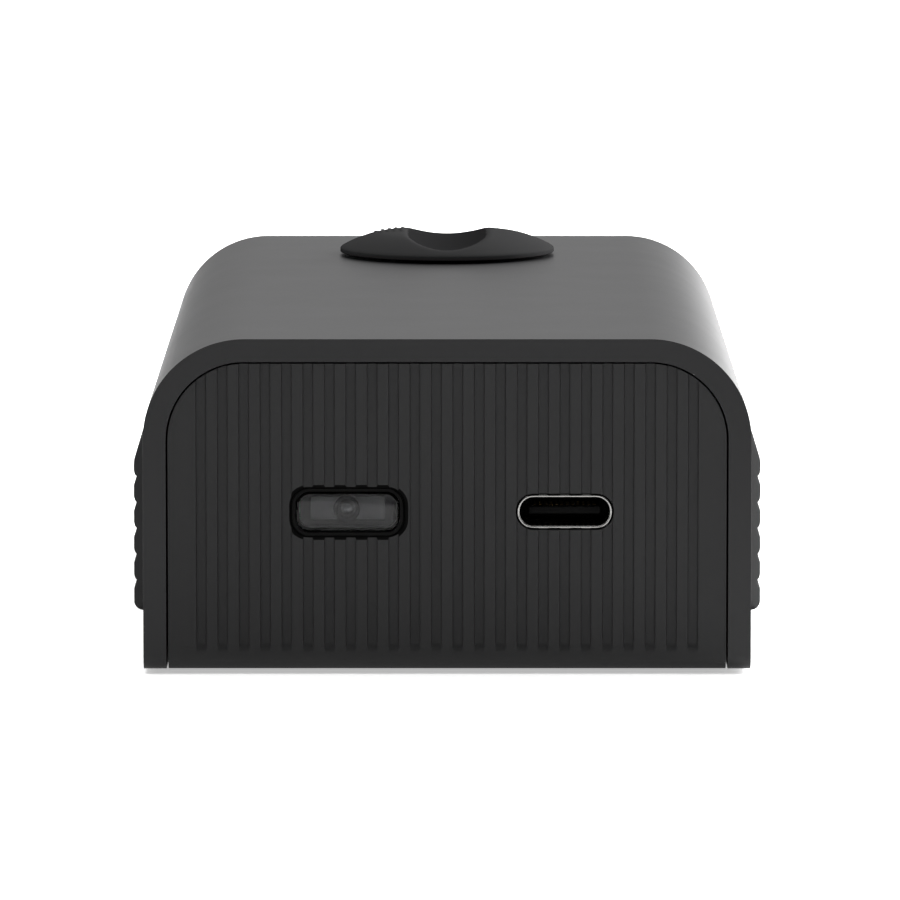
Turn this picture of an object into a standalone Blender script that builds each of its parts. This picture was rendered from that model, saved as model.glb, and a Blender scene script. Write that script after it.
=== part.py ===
"""A pocket launch monitor: an arched shell over a base plate, with fluted end panels, a sensor
window, a USB-C socket, ribbed side grips and a round press button with a finger groove.

Frame: metres, +Z up, the front panel facing -Y, the origin on the floor below the middle."""

import math

import bmesh
import bpy

MM = 0.001

# Body
BODY_WIDTH = 56.9 * MM
BODY_HEIGHT = 31.2 * MM
BODY_LENGTH = 106.0 * MM
SHELL_WALL = 2.15 * MM
CORNER_RADIUS = 9.5 * MM
FOOT_DROP = 0.4 * MM
FIT_GAP = 0.3 * MM
SEAM_GAP = 0.25 * MM
ARC_STEPS = 8

# End panels
PANEL_THICKNESS = 2.4 * MM
PANEL_RECESS = 0.15 * MM
FLUTE_COUNT = 24
FLUTE_PITCH = 2.0 * MM
FLUTE_WIDTH = 0.9 * MM
FLUTE_DEPTH = 0.2 * MM
FLUTE_FOOT = 1.8 * MM

# Base plate, feet and screws
BASE_THICKNESS = 2.0 * MM
FOOT_RADIUS = 4.0 * MM
FOOT_POCKET = 1.0 * MM
FOOT_SIDE_INSET = 12.45 * MM
FOOT_END_INSET = 11.0 * MM
SCREW_SIDE_INSET = 3.65 * MM
SCREW_END_INSET = 13.0 * MM
SCREW_HEAD_RADIUS = 1.9 * MM
SCREW_HEAD_HEIGHT = 1.1 * MM
SCREW_SHANK_RADIUS = 0.9 * MM
SCREW_LENGTH = 5.5 * MM
SMALL_SCREW_HEAD_RADIUS = 1.4 * MM
SMALL_SCREW_HEAD_HEIGHT = 0.8 * MM
SMALL_SCREW_SHANK_RADIUS = 0.6 * MM
SMALL_SCREW_LENGTH = 4.0 * MM
BOSS_WALL = 1.2 * MM
BOSS_HEIGHT = 8.0 * MM
BOSS_CLEARANCE = 0.6 * MM

# Sensor window
WINDOW_X = -9.3 * MM
WINDOW_HEIGHT_UP = 14.9 * MM
WINDOW_SIZE = (10.94 * MM, 4.77 * MM)
WINDOW_RADIUS = 1.6 * MM
BEZEL_WALL = 0.6 * MM
BEZEL_FLANGE = 0.9 * MM
GLASS_THICKNESS = 0.9 * MM
GLASS_RECESS = 0.5 * MM
SENSOR_BOARD_WIDTH = 13.0 * MM
SENSOR_BOARD_THICKNESS = 0.8 * MM
SENSOR_BOARD_REACH = 5.5 * MM
SENSOR_BOARD_FOOT = 2.4 * MM
SENSOR_HOUSING_SIZE = (8.6 * MM, 2.2 * MM, 3.4 * MM)
SENSOR_PLATE_SIZE = (6.84 * MM, 0.3 * MM, 1.95 * MM)
LENS_OFFSET = (-0.1 * MM, 0.0)
LENS_HOLDER_RADIUS = 1.22 * MM
LENS_HOLDER_DEPTH = 0.6 * MM
LENS_RADIUS = 0.49 * MM

# USB-C socket
USB_X = 11.0 * MM
USB_HEIGHT_UP = 14.95 * MM
USB_SIZE = (8.94 * MM, 3.2 * MM)
USB_LENGTH = 7.4 * MM
USB_WALL = 0.3 * MM
USB_CORNER = 1.55 * MM
USB_SLOT_GAP = 0.15 * MM
USB_RECESS = 0.2 * MM
TONGUE_SIZE = (6.69 * MM, 4.6 * MM, 0.7 * MM)
INSULATOR_DEPTH = 1.6 * MM

# Main board and what stands on it
BOARD_THICKNESS = 1.0 * MM
BOARD_TAB_WIDTH = 14.0 * MM
BOARD_FRONT = 7.6 * MM
BOARD_REAR = 8.0 * MM
BOARD_SCREW_INSET = 3.0 * MM

# Frame and battery
FRAME_WALL = 1.6 * MM
FRAME_POST = 5.0 * MM
BATTERY_SIDE_ROOM = 1.4 * MM
BATTERY_END_ROOM = 14.0 * MM
BATTERY_TOP_ROOM = 0.9 * MM
BATTERY_PAD = 0.5 * MM
LEAD_RADIUS = 0.7 * MM
LEAD_HOLE_RADIUS = 1.5 * MM
LEAD_SETBACK = 4.0 * MM
LEAD_BEND = 2.0 * MM

# Radar module
RADAR_BOARD_SIZE = (32.0 * MM, 0.8 * MM, 23.0 * MM)
RADAR_CAN_SIZE = (16.0 * MM, 2.0 * MM, 12.0 * MM)
PATCH_SIZE = 5.0 * MM
PATCH_PITCH = 7.0 * MM
PATCH_THICKNESS = 0.25 * MM

# Press button
BUTTON_REAR_INSET = 21.0 * MM
BUTTON_RADIUS = 11.05 * MM
BUTTON_RISE = 2.1 * MM
BUTTON_RIM = 0.55 * MM
BUTTON_TRAVEL = 0.3 * MM
RIM_GAP = 0.35 * MM
GROOVE_RADIUS = 8.8 * MM
GROOVE_DEPTH = 1.15 * MM
STEM_RADIUS = 3.6 * MM
STEM_GAP = 0.3 * MM
GUIDE_WALL = 1.6 * MM
GUIDE_HEIGHT = 3.0 * MM
CLIP_WIDTH = 1.6 * MM
CLIP_THICKNESS = 0.6 * MM
CLIP_GROOVE = 0.5 * MM
SPRING_ROOM = 2.7 * MM
SPRING_POCKET_DEPTH = 1.1 * MM
SPRING_WIRE = 0.16 * MM
SPRING_TURNS = 3
RIDGE_COUNT = 5
RIDGE_LIFT = 0.1 * MM
RIDGE_DROP = 0.015 * MM
SWITCH_SIZE = (6.0 * MM, 6.0 * MM, 2.6 * MM)
SWITCH_PLUNGER_RADIUS = 1.7 * MM
SWITCH_PLUNGER_HEIGHT = 1.4 * MM
SWITCH_BOARD_SIZE = (26.0 * MM, 11.0 * MM, 1.0 * MM)
STEM_TIP = 1.4 * MM
SWITCH_POST_RADIUS = 2.2 * MM

# Side grips
GRIP_END_INSET = 5.0 * MM
GRIP_BOTTOM = 4.6 * MM
GRIP_TOP = 22.7 * MM
GRIP_PROUD = 1.2 * MM
GRIP_POCKET = 0.6 * MM
GRIP_CORNER = 4.0 * MM
GRIP_RIBS = 6
GRIP_PITCH = 2.47 * MM
GRIP_VALLEY = 0.3 * MM
GRIP_TOP_SLOPE = 3.45 * MM
GRIP_CREST = 1.1 * MM
GRIP_FLANK = 0.95 * MM
GRIP_ROUND = 0.5 * MM

# Flat cables
RIBBON_THICKNESS = 0.3 * MM
RIBBON_WIDTH = 5.0 * MM
SOCKET_SIZE = (6.4 * MM, 3.0 * MM, 1.4 * MM)

# Places worked out from the sizes above
FRONT_Y = -BODY_LENGTH / 2
REAR_Y = BODY_LENGTH / 2
BODY_BOTTOM = FOOT_DROP
BODY_TOP = BODY_BOTTOM + BODY_HEIGHT
INNER_HALF = BODY_WIDTH / 2 - SHELL_WALL
CEILING = BODY_TOP - SHELL_WALL
INNER_RADIUS = CORNER_RADIUS - SHELL_WALL
PANEL_FACE = FRONT_Y + PANEL_RECESS
PANEL_BACK = PANEL_FACE + PANEL_THICKNESS
REAR_PANEL_FACE = REAR_Y - PANEL_RECESS
REAR_PANEL_BACK = REAR_PANEL_FACE - PANEL_THICKNESS
BASE_TOP = BODY_BOTTOM + BASE_THICKNESS
WINDOW_Z = BODY_BOTTOM + WINDOW_HEIGHT_UP
USB_Z = BODY_BOTTOM + USB_HEIGHT_UP
BOARD_TOP = USB_Z - USB_SIZE[1] / 2 - FIT_GAP
BOARD_BOTTOM = BOARD_TOP - BOARD_THICKNESS
BOARD_FRONT_Y = FRONT_Y + BOARD_FRONT
BOARD_REAR_Y = REAR_Y - BOARD_REAR
FRAME_BOTTOM = BASE_TOP + FIT_GAP
FRAME_TOP = BOARD_BOTTOM - FIT_GAP
BUTTON_Y = REAR_Y - BUTTON_REAR_INSET
RIM_BOTTOM = BODY_TOP + RIM_GAP
BUTTON_TOP = RIM_BOTTOM + BUTTON_RISE
CLIP_TOP = CEILING - GUIDE_HEIGHT - FIT_GAP
STEM_BOTTOM = CLIP_TOP - CLIP_THICKNESS - STEM_TIP
PLUNGER_TOP = STEM_BOTTOM - FIT_GAP
SWITCH_TOP = PLUNGER_TOP - SWITCH_PLUNGER_HEIGHT + FIT_GAP
SWITCH_BOARD_TOP = SWITCH_TOP - SWITCH_SIZE[2] - FIT_GAP
SPRING_POCKET_RADIUS = STEM_RADIUS + STEM_GAP + SPRING_ROOM
BOSS_RADIUS = SCREW_SHANK_RADIUS + BOSS_WALL
SCREW_X = INNER_HALF - SCREW_SIDE_INSET
SCREW_Y = BODY_LENGTH / 2 - SCREW_END_INSET
FOOT_X = BODY_WIDTH / 2 - FOOT_SIDE_INSET
FOOT_Y = BODY_LENGTH / 2 - FOOT_END_INSET
BOARD_WIDTH = 2 * (SCREW_X - BOSS_RADIUS - BOSS_CLEARANCE)
BOARD_LENGTH = BOARD_REAR_Y - BOARD_FRONT_Y
BOARD_MIDDLE_Y = (BOARD_FRONT_Y + BOARD_REAR_Y) / 2
BATTERY_BOTTOM = BASE_TOP + FIT_GAP + BATTERY_PAD + FIT_GAP / 3
BATTERY_SIZE = (
    BOARD_WIDTH - 2 * FRAME_WALL - 2 * BATTERY_SIDE_ROOM,
    BOARD_LENGTH - 2 * FRAME_WALL - 2 * BATTERY_END_ROOM,
    FRAME_TOP - BATTERY_BOTTOM - BATTERY_TOP_ROOM,
)
CELL_END = BOARD_MIDDLE_Y + BATTERY_SIZE[1] / 2
LEAD_X = -BATTERY_SIZE[0] / 2 + 3 * LEAD_RADIUS
LEAD_Y = CELL_END + LEAD_SETBACK
RADAR_FACE = REAR_PANEL_BACK - 2 * FIT_GAP - PATCH_THICKNESS
SENSOR_BACK = PANEL_BACK + BEZEL_FLANGE + SENSOR_HOUSING_SIZE[1] + 2 * FIT_GAP
SENSOR_BOARD_BOTTOM = FRAME_TOP - SENSOR_BOARD_FOOT
SENSOR_BOARD_TOP = WINDOW_Z + SENSOR_BOARD_REACH

for old in list(bpy.data.objects):
    bpy.data.objects.remove(old, do_unlink=True)

PARTS = bpy.data.collections.new("launch_monitor")
CUTTERS = bpy.data.collections.new("cutters")
bpy.context.scene.collection.children.link(PARTS)
bpy.context.scene.collection.children.link(CUTTERS)


def finish(name, colour, roughness, metallic=0.0):
    """A Principled material with one colour."""
    made = bpy.data.materials.new(name)
    made.use_nodes = True
    shader = made.node_tree.nodes["Principled BSDF"]
    shader.inputs["Base Color"].default_value = (*colour, 1.0)
    shader.inputs["Roughness"].default_value = roughness
    shader.inputs["Metallic"].default_value = metallic
    return made


SATIN_BLACK = finish("satin_black_shell", (0.032, 0.032, 0.034), 0.42)
PANEL_BLACK = finish("fluted_panel_black", (0.027, 0.027, 0.028), 0.55)
BASE_BLACK = finish("base_plate_black", (0.025, 0.025, 0.026), 0.6)
RUBBER = finish("grip_rubber", (0.03, 0.03, 0.031), 0.8)
FOOT_RUBBER = finish("foot_rubber", (0.02, 0.02, 0.02), 0.85)
BUTTON_BLACK = finish("button_black", (0.045, 0.045, 0.047), 0.5)
BEZEL_BLACK = finish("bezel_black", (0.004, 0.004, 0.004), 0.3)
SMOKED = finish("smoked_window", (0.05, 0.05, 0.052), 0.1)
SENSOR_DARK = finish("sensor_housing_grey", (0.05, 0.05, 0.05), 0.5)
SENSOR_GREY = finish("sensor_plate_grey", (0.075, 0.075, 0.075), 0.4)
LENS_BLACK = finish("lens_holder_black", (0.035, 0.035, 0.035), 0.35)
LENS_GLASS = finish("lens_glass", (0.12, 0.12, 0.13), 0.05)
STEEL = finish("stainless_steel", (0.6, 0.6, 0.6), 0.25, 1.0)
SCREW_BLACK = finish("blackened_steel", (0.06, 0.06, 0.065), 0.4, 1.0)
NYLON_BLACK = finish("nylon_black", (0.02, 0.02, 0.02), 0.5)
BOARD_GREEN = finish("circuit_board", (0.01, 0.08, 0.03), 0.4)
CHIP_BLACK = finish("chip_black", (0.015, 0.015, 0.016), 0.45)
TINPLATE = finish("tinplate", (0.55, 0.56, 0.57), 0.3, 1.0)
COPPER = finish("gold_plated_copper", (0.83, 0.6, 0.25), 0.3, 1.0)
POUCH = finish("battery_pouch", (0.45, 0.46, 0.48), 0.35, 0.8)
FOAM = finish("foam_tape", (0.03, 0.03, 0.03), 0.95)
CREAM_PLASTIC = finish("socket_cream", (0.75, 0.7, 0.58), 0.5)
LEAD_RED = finish("battery_lead_red", (0.4, 0.02, 0.02), 0.5)
RIBBON_AMBER = finish("flat_cable_amber", (0.45, 0.2, 0.04), 0.35)


def place(obj, material=None, collection=PARTS):
    """Puts an object in its collection, with its one material."""
    collection.objects.link(obj)
    if material:
        obj.data.materials.clear()
        obj.data.materials.append(material)
    return obj


def from_bmesh(name, bm, material=None, collection=PARTS):
    mesh = bpy.data.meshes.new(name)
    bm.to_mesh(mesh)
    bm.free()
    return place(bpy.data.objects.new(name, mesh), material, collection)


def box(name, low, high, material=None, collection=PARTS):
    """A box between two corners."""
    bm = bmesh.new()
    bmesh.ops.create_cube(bm, size=1.0)
    size = [b - a for a, b in zip(low, high)]
    middle = [(a + b) / 2 for a, b in zip(low, high)]
    bmesh.ops.scale(bm, vec=size, verts=bm.verts)
    bmesh.ops.translate(bm, vec=middle, verts=bm.verts)
    return from_bmesh(name, bm, material, collection)


def block(name, size, middle, material=None, collection=PARTS):
    """A box of a size about a middle point."""
    low = [m - s / 2 for m, s in zip(middle, size)]
    high = [m + s / 2 for m, s in zip(middle, size)]
    return box(name, low, high, material, collection)


def round_edges(obj, width, segments=2):
    bevel = obj.modifiers.new("round_edges", "BEVEL")
    bevel.width = width
    bevel.segments = segments
    bevel.limit_method = "ANGLE"
    return obj


def cylinder(name, radius, start, end, axis="Z", steps=24, material=None, collection=PARTS):
    """A cylinder from start to end, two points that differ along one axis."""
    bm = bmesh.new()
    depth = math.dist(start, end)
    bmesh.ops.create_cone(
        bm, cap_ends=True, segments=steps, radius1=radius, radius2=radius, depth=depth
    )
    obj = from_bmesh(name, bm, material, collection)
    turn = {"X": (0, math.pi / 2, 0), "Y": (math.pi / 2, 0, 0), "Z": (0, 0, 0)}[axis]
    obj.rotation_euler = turn
    obj.location = [(a + b) / 2 for a, b in zip(start, end)]
    obj.data.shade_smooth()
    return obj


def arc(centre, radius, start, end, steps=ARC_STEPS):
    """Points along an arc, with angles in degrees."""
    angles = [math.radians(start + (end - start) * i / steps) for i in range(steps + 1)]
    return [(centre[0] + radius * math.cos(a), centre[1] + radius * math.sin(a)) for a in angles]


def arch(half_width, bottom, top, radius):
    """An outline with a flat bottom and two round top corners, anticlockwise from bottom left."""
    right = arc((half_width - radius, top - radius), radius, 0, 90)
    left = arc((radius - half_width, top - radius), radius, 90, 180)
    return [(-half_width, bottom), (half_width, bottom)] + right + left


def rounded_rectangle(width, height, radius, middle=(0.0, 0.0), steps=6):
    x, y = width / 2 - radius, height / 2 - radius
    corners = ((x, y, 0), (-x, y, 90), (-x, -y, 180), (x, -y, 270))
    points = []
    for cx, cy, angle in corners:
        points += arc((middle[0] + cx, middle[1] + cy), radius, angle, angle + 90, steps)
    return points


def extruded(name, outlines, start, end, plane="XZ", material=None, collection=PARTS):
    """A flat outline, with any holes after it, extruded from start to end across its plane."""
    curve = bpy.data.curves.new(name, "CURVE")
    curve.dimensions = "2D"
    curve.fill_mode = "BOTH"
    curve.extrude = abs(end - start) / 2
    for outline in outlines:
        spline = curve.splines.new("POLY")
        spline.points.add(len(outline) - 1)
        for point, (x, y) in zip(spline.points, outline):
            point.co = (x, y, 0.0, 1.0)
        spline.use_cyclic_u = True
    drawn = place(bpy.data.objects.new(name + "_outline", curve), None, collection)
    middle = (start + end) / 2
    if plane == "XZ":
        drawn.rotation_euler = (math.pi / 2, 0, 0)
        drawn.location = (0, middle, 0)
    elif plane == "YZ":
        drawn.rotation_euler = (math.pi / 2, 0, math.pi / 2)
        drawn.location = (middle, 0, 0)
    else:
        drawn.location = (0, 0, middle)
    bpy.context.view_layer.update()
    graph = bpy.context.evaluated_depsgraph_get()
    mesh = bpy.data.meshes.new_from_object(drawn.evaluated_get(graph))
    bm = bmesh.new()
    bm.from_mesh(mesh)
    bmesh.ops.remove_doubles(bm, verts=bm.verts, dist=0.001 * MM)
    bmesh.ops.recalc_face_normals(bm, faces=bm.faces)
    bm.to_mesh(mesh)
    bm.free()
    mesh.name = name
    obj = place(bpy.data.objects.new(name, mesh), material, collection)
    obj.matrix_world = drawn.matrix_world
    bpy.data.objects.remove(drawn, do_unlink=True)
    return obj


def turned(name, profile, middle, steps=32, material=None, collection=PARTS):
    """A closed solid of revolution about Z. The profile runs from the axis at the top to the axis
    at the bottom, as (radius, height) pairs."""
    mesh = bpy.data.meshes.new(name)
    points = [(radius, 0.0, height) for radius, height in profile]
    edges = [(i, i + 1) for i in range(len(points) - 1)]
    mesh.from_pydata(points, edges, [])
    obj = place(bpy.data.objects.new(name, mesh), material, collection)
    obj.location = middle
    screw = obj.modifiers.new("turn", "SCREW")
    screw.steps = steps
    screw.render_steps = steps
    screw.use_merge_vertices = True
    screw.merge_threshold = 0.00001
    return obj


def as_helper(obj):
    obj.hide_render = True
    obj.display_type = "WIRE"
    return obj


def boolean(target, helpers, operation):
    for helper in helpers:
        change = target.modifiers.new(helper.name, "BOOLEAN")
        change.operation = operation
        change.solver = "EXACT"
        change.object = as_helper(helper)
    return target


def cut(target, *helpers):
    return boolean(target, helpers, "DIFFERENCE")


def join(target, *helpers):
    return boolean(target, helpers, "UNION")


def four_corners(x, y, middle_y=0.0):
    """A name and a place for each corner of a rectangle that reaches this far from its middle."""
    places = []
    for end, side_y in (("front", -1), ("rear", 1)):
        for side, side_x in (("left", -1), ("right", 1)):
            places.append((f"{end}_{side}", side_x * x, middle_y + side_y * y))
    return places


def screw_piece(name, x, y, seat, head_radius, head_height, shank_radius, length, up):
    """A screw whose head sits at height seat, with its shank running up (1) or down (-1)."""
    steps = 16
    profile = [
        (0.0, length),
        (shank_radius * 0.6, length),
        (shank_radius, length - shank_radius * 0.5),
        (shank_radius, 0.0),
        (head_radius, 0.0),
        (head_radius, -head_height * 0.7),
        (head_radius * 0.85, -head_height),
        (0.0, -head_height),
    ]
    if up < 0:
        profile = [(radius, -height) for radius, height in reversed(profile)]
    piece = turned(name, profile, (x, y, seat), steps, SCREW_BLACK)
    socket_depth = head_height * 0.6
    outer = seat - up * head_height * 1.5
    inner = seat - up * (head_height - socket_depth)
    socket = cylinder(
        name + "_socket", head_radius * 0.5, (x, y, outer), (x, y, inner), "Z", 6, None, CUTTERS
    )
    return cut(piece, socket)


# ---- Outer shell: an arched U that covers the top and both sides ----


def make_shell():
    outer = arch(BODY_WIDTH / 2, BODY_BOTTOM, BODY_TOP, CORNER_RADIUS)
    inner = arch(INNER_HALF, BODY_BOTTOM, CEILING, INNER_RADIUS)
    outline = outer[1:] + [outer[0], inner[0]] + inner[:1:-1] + [inner[1]]
    shell = extruded("outer_shell", [outline], FRONT_Y, REAR_Y, "XZ", SATIN_BLACK)
    additions = []
    holes = []
    boss_bottom = BASE_TOP + FIT_GAP
    for name, x, y in four_corners(SCREW_X, SCREW_Y):
        side = math.copysign(1.0, x)
        edge = side * (INNER_HALF + SHELL_WALL / 2)
        low_x, high_x = sorted((x - side * BOSS_RADIUS, edge))
        additions.append(
            box(
                f"shell_boss_{name}",
                (low_x, y - BOSS_RADIUS, boss_bottom),
                (high_x, y + BOSS_RADIUS, boss_bottom + BOSS_HEIGHT),
                None,
                CUTTERS,
            )
        )
        holes.append(
            cylinder(
                f"shell_boss_hole_{name}",
                SCREW_SHANK_RADIUS + STEM_GAP / 2,
                (x, y, boss_bottom - BOSS_WALL),
                (x, y, boss_bottom + BOSS_HEIGHT - BOSS_WALL),
                steps=16,
                collection=CUTTERS,
            )
        )
    into_roof = CEILING + SHELL_WALL / 2
    additions.append(
        cylinder(
            "stem_guide",
            STEM_RADIUS + STEM_GAP + GUIDE_WALL,
            (0, BUTTON_Y, CEILING - GUIDE_HEIGHT),
            (0, BUTTON_Y, into_roof),
            collection=CUTTERS,
        )
    )
    holes.append(
        cylinder(
            "stem_hole",
            STEM_RADIUS + STEM_GAP,
            (0, BUTTON_Y, CEILING - GUIDE_HEIGHT - SHELL_WALL),
            (0, BUTTON_Y, BODY_TOP + SHELL_WALL),
            collection=CUTTERS,
        )
    )
    holes.append(
        cylinder(
            "spring_pocket",
            SPRING_POCKET_RADIUS,
            (0, BUTTON_Y, BODY_TOP - SPRING_POCKET_DEPTH),
            (0, BUTTON_Y, BODY_TOP + SHELL_WALL),
            steps=32,
            collection=CUTTERS,
        )
    )
    post_bottom = SWITCH_BOARD_TOP + FIT_GAP
    for side in (-1, 1):
        x = side * switch_screw_x()
        additions.append(
            cylinder(
                f"switch_post_{side}",
                SWITCH_POST_RADIUS,
                (x, BUTTON_Y, post_bottom),
                (x, BUTTON_Y, into_roof),
                steps=16,
                collection=CUTTERS,
            )
        )
        holes.append(
            cylinder(
                f"switch_post_hole_{side}",
                SMALL_SCREW_SHANK_RADIUS + STEM_GAP / 2,
                (x, BUTTON_Y, post_bottom - BOSS_WALL),
                (x, BUTTON_Y, post_bottom + SMALL_SCREW_LENGTH),
                steps=12,
                collection=CUTTERS,
            )
        )
    for side in (-1, 1):
        holes.append(grip_outline("grip_recess", side, 0.0, GRIP_POCKET, CUTTERS))
    join(shell, *additions)
    cut(shell, *holes)
    return shell


def switch_screw_x():
    return SWITCH_BOARD_SIZE[0] / 2 - SWITCH_POST_RADIUS - 0.3 * MM


def grip_outline(name, side, shrink, depth, collection):
    """A rounded slab on one side of the shell, reaching this depth into its wall."""
    length = BODY_LENGTH - 2 * GRIP_END_INSET - 2 * shrink
    height = GRIP_TOP - GRIP_BOTTOM - 2 * shrink
    middle = (0.0, BODY_BOTTOM + (GRIP_TOP + GRIP_BOTTOM) / 2)
    outline = rounded_rectangle(length, height, GRIP_CORNER - shrink, middle)
    inner = side * (BODY_WIDTH / 2 - depth)
    outer = side * (BODY_WIDTH / 2 + 2 * GRIP_PROUD)
    return extruded(f"{name}_{side}", [outline], inner, outer, "YZ", None, collection)


# ---- End panels: inset in the shell's ends, with shallow upright flutes ----


def flute_cutter(name, face, outward):
    """One mesh of narrow boxes that cuts every flute of a panel."""
    bm = bmesh.new()
    height = BODY_HEIGHT - FLUTE_FOOT
    for i in range(FLUTE_COUNT):
        x = (i - (FLUTE_COUNT - 1) / 2) * FLUTE_PITCH
        made = bmesh.ops.create_cube(bm, size=1.0)["verts"]
        bmesh.ops.scale(bm, vec=(FLUTE_WIDTH, 4 * FLUTE_DEPTH, height), verts=made)
        place_y = face + outward * FLUTE_DEPTH
        place_z = BODY_BOTTOM + FLUTE_FOOT + height / 2
        bmesh.ops.translate(bm, vec=(x, place_y, place_z), verts=made)
    return from_bmesh(name, bm, None, CUTTERS)


def make_panel(name, face, outward, openings):
    outline = arch(
        INNER_HALF - SEAM_GAP, BODY_BOTTOM, CEILING - SEAM_GAP, INNER_RADIUS - SEAM_GAP
    )
    back = face - outward * PANEL_THICKNESS
    panel = extruded(name, [outline] + openings, face, back, "XZ", PANEL_BLACK)
    return cut(panel, flute_cutter(name + "_flutes", face, outward))


def make_panels():
    window = rounded_rectangle(*WINDOW_SIZE, WINDOW_RADIUS, (WINDOW_X, WINDOW_Z))
    slot = rounded_rectangle(
        USB_SIZE[0] + 2 * USB_SLOT_GAP,
        USB_SIZE[1] + 2 * USB_SLOT_GAP,
        USB_CORNER + USB_SLOT_GAP,
        (USB_X, USB_Z),
    )
    make_panel("front_panel", PANEL_FACE, -1, [window, slot])
    make_panel("rear_panel", REAR_PANEL_FACE, 1, [])


# ---- Base plate, its feet and its screws ----


def make_base():
    half_width = INNER_HALF - SEAM_GAP
    low = (-half_width, PANEL_BACK + SEAM_GAP, BODY_BOTTOM)
    high = (half_width, REAR_PANEL_BACK - SEAM_GAP, BASE_TOP)
    base = box("base_plate", low, high, BASE_BLACK)
    cutters = []
    for name, x, y in four_corners(FOOT_X, FOOT_Y):
        cutters.append(
            cylinder(
                f"foot_pocket_{name}",
                FOOT_RADIUS + SEAM_GAP,
                (x, y, BODY_BOTTOM - FOOT_POCKET),
                (x, y, BODY_BOTTOM + FOOT_POCKET),
                collection=CUTTERS,
            )
        )
        foot = cylinder(
            f"foot_{name}",
            FOOT_RADIUS,
            (x, y, 0.0),
            (x, y, BODY_BOTTOM + FOOT_POCKET - FIT_GAP),
            material=FOOT_RUBBER,
        )
        foot.data.set_sharp_from_angle(angle=math.radians(40))
    seat = BODY_BOTTOM + SCREW_HEAD_HEIGHT + SEAM_GAP
    for name, x, y in four_corners(SCREW_X, SCREW_Y):
        cutters.append(
            cylinder(
                f"screw_sink_{name}",
                SCREW_HEAD_RADIUS + SEAM_GAP,
                (x, y, BODY_BOTTOM - SCREW_HEAD_HEIGHT),
                (x, y, seat + SEAM_GAP),
                steps=16,
                collection=CUTTERS,
            )
        )
        cutters.append(
            cylinder(
                f"screw_hole_{name}",
                SCREW_SHANK_RADIUS + SEAM_GAP,
                (x, y, BODY_BOTTOM),
                (x, y, BASE_TOP + BASE_THICKNESS),
                steps=16,
                collection=CUTTERS,
            )
        )
        screw_piece(
            f"base_screw_{name}",
            x,
            y,
            seat,
            SCREW_HEAD_RADIUS,
            SCREW_HEAD_HEIGHT,
            SCREW_SHANK_RADIUS,
            SCREW_LENGTH,
            1,
        )
    cut(base, *cutters)


# ---- Sensor behind the window ----


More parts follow.
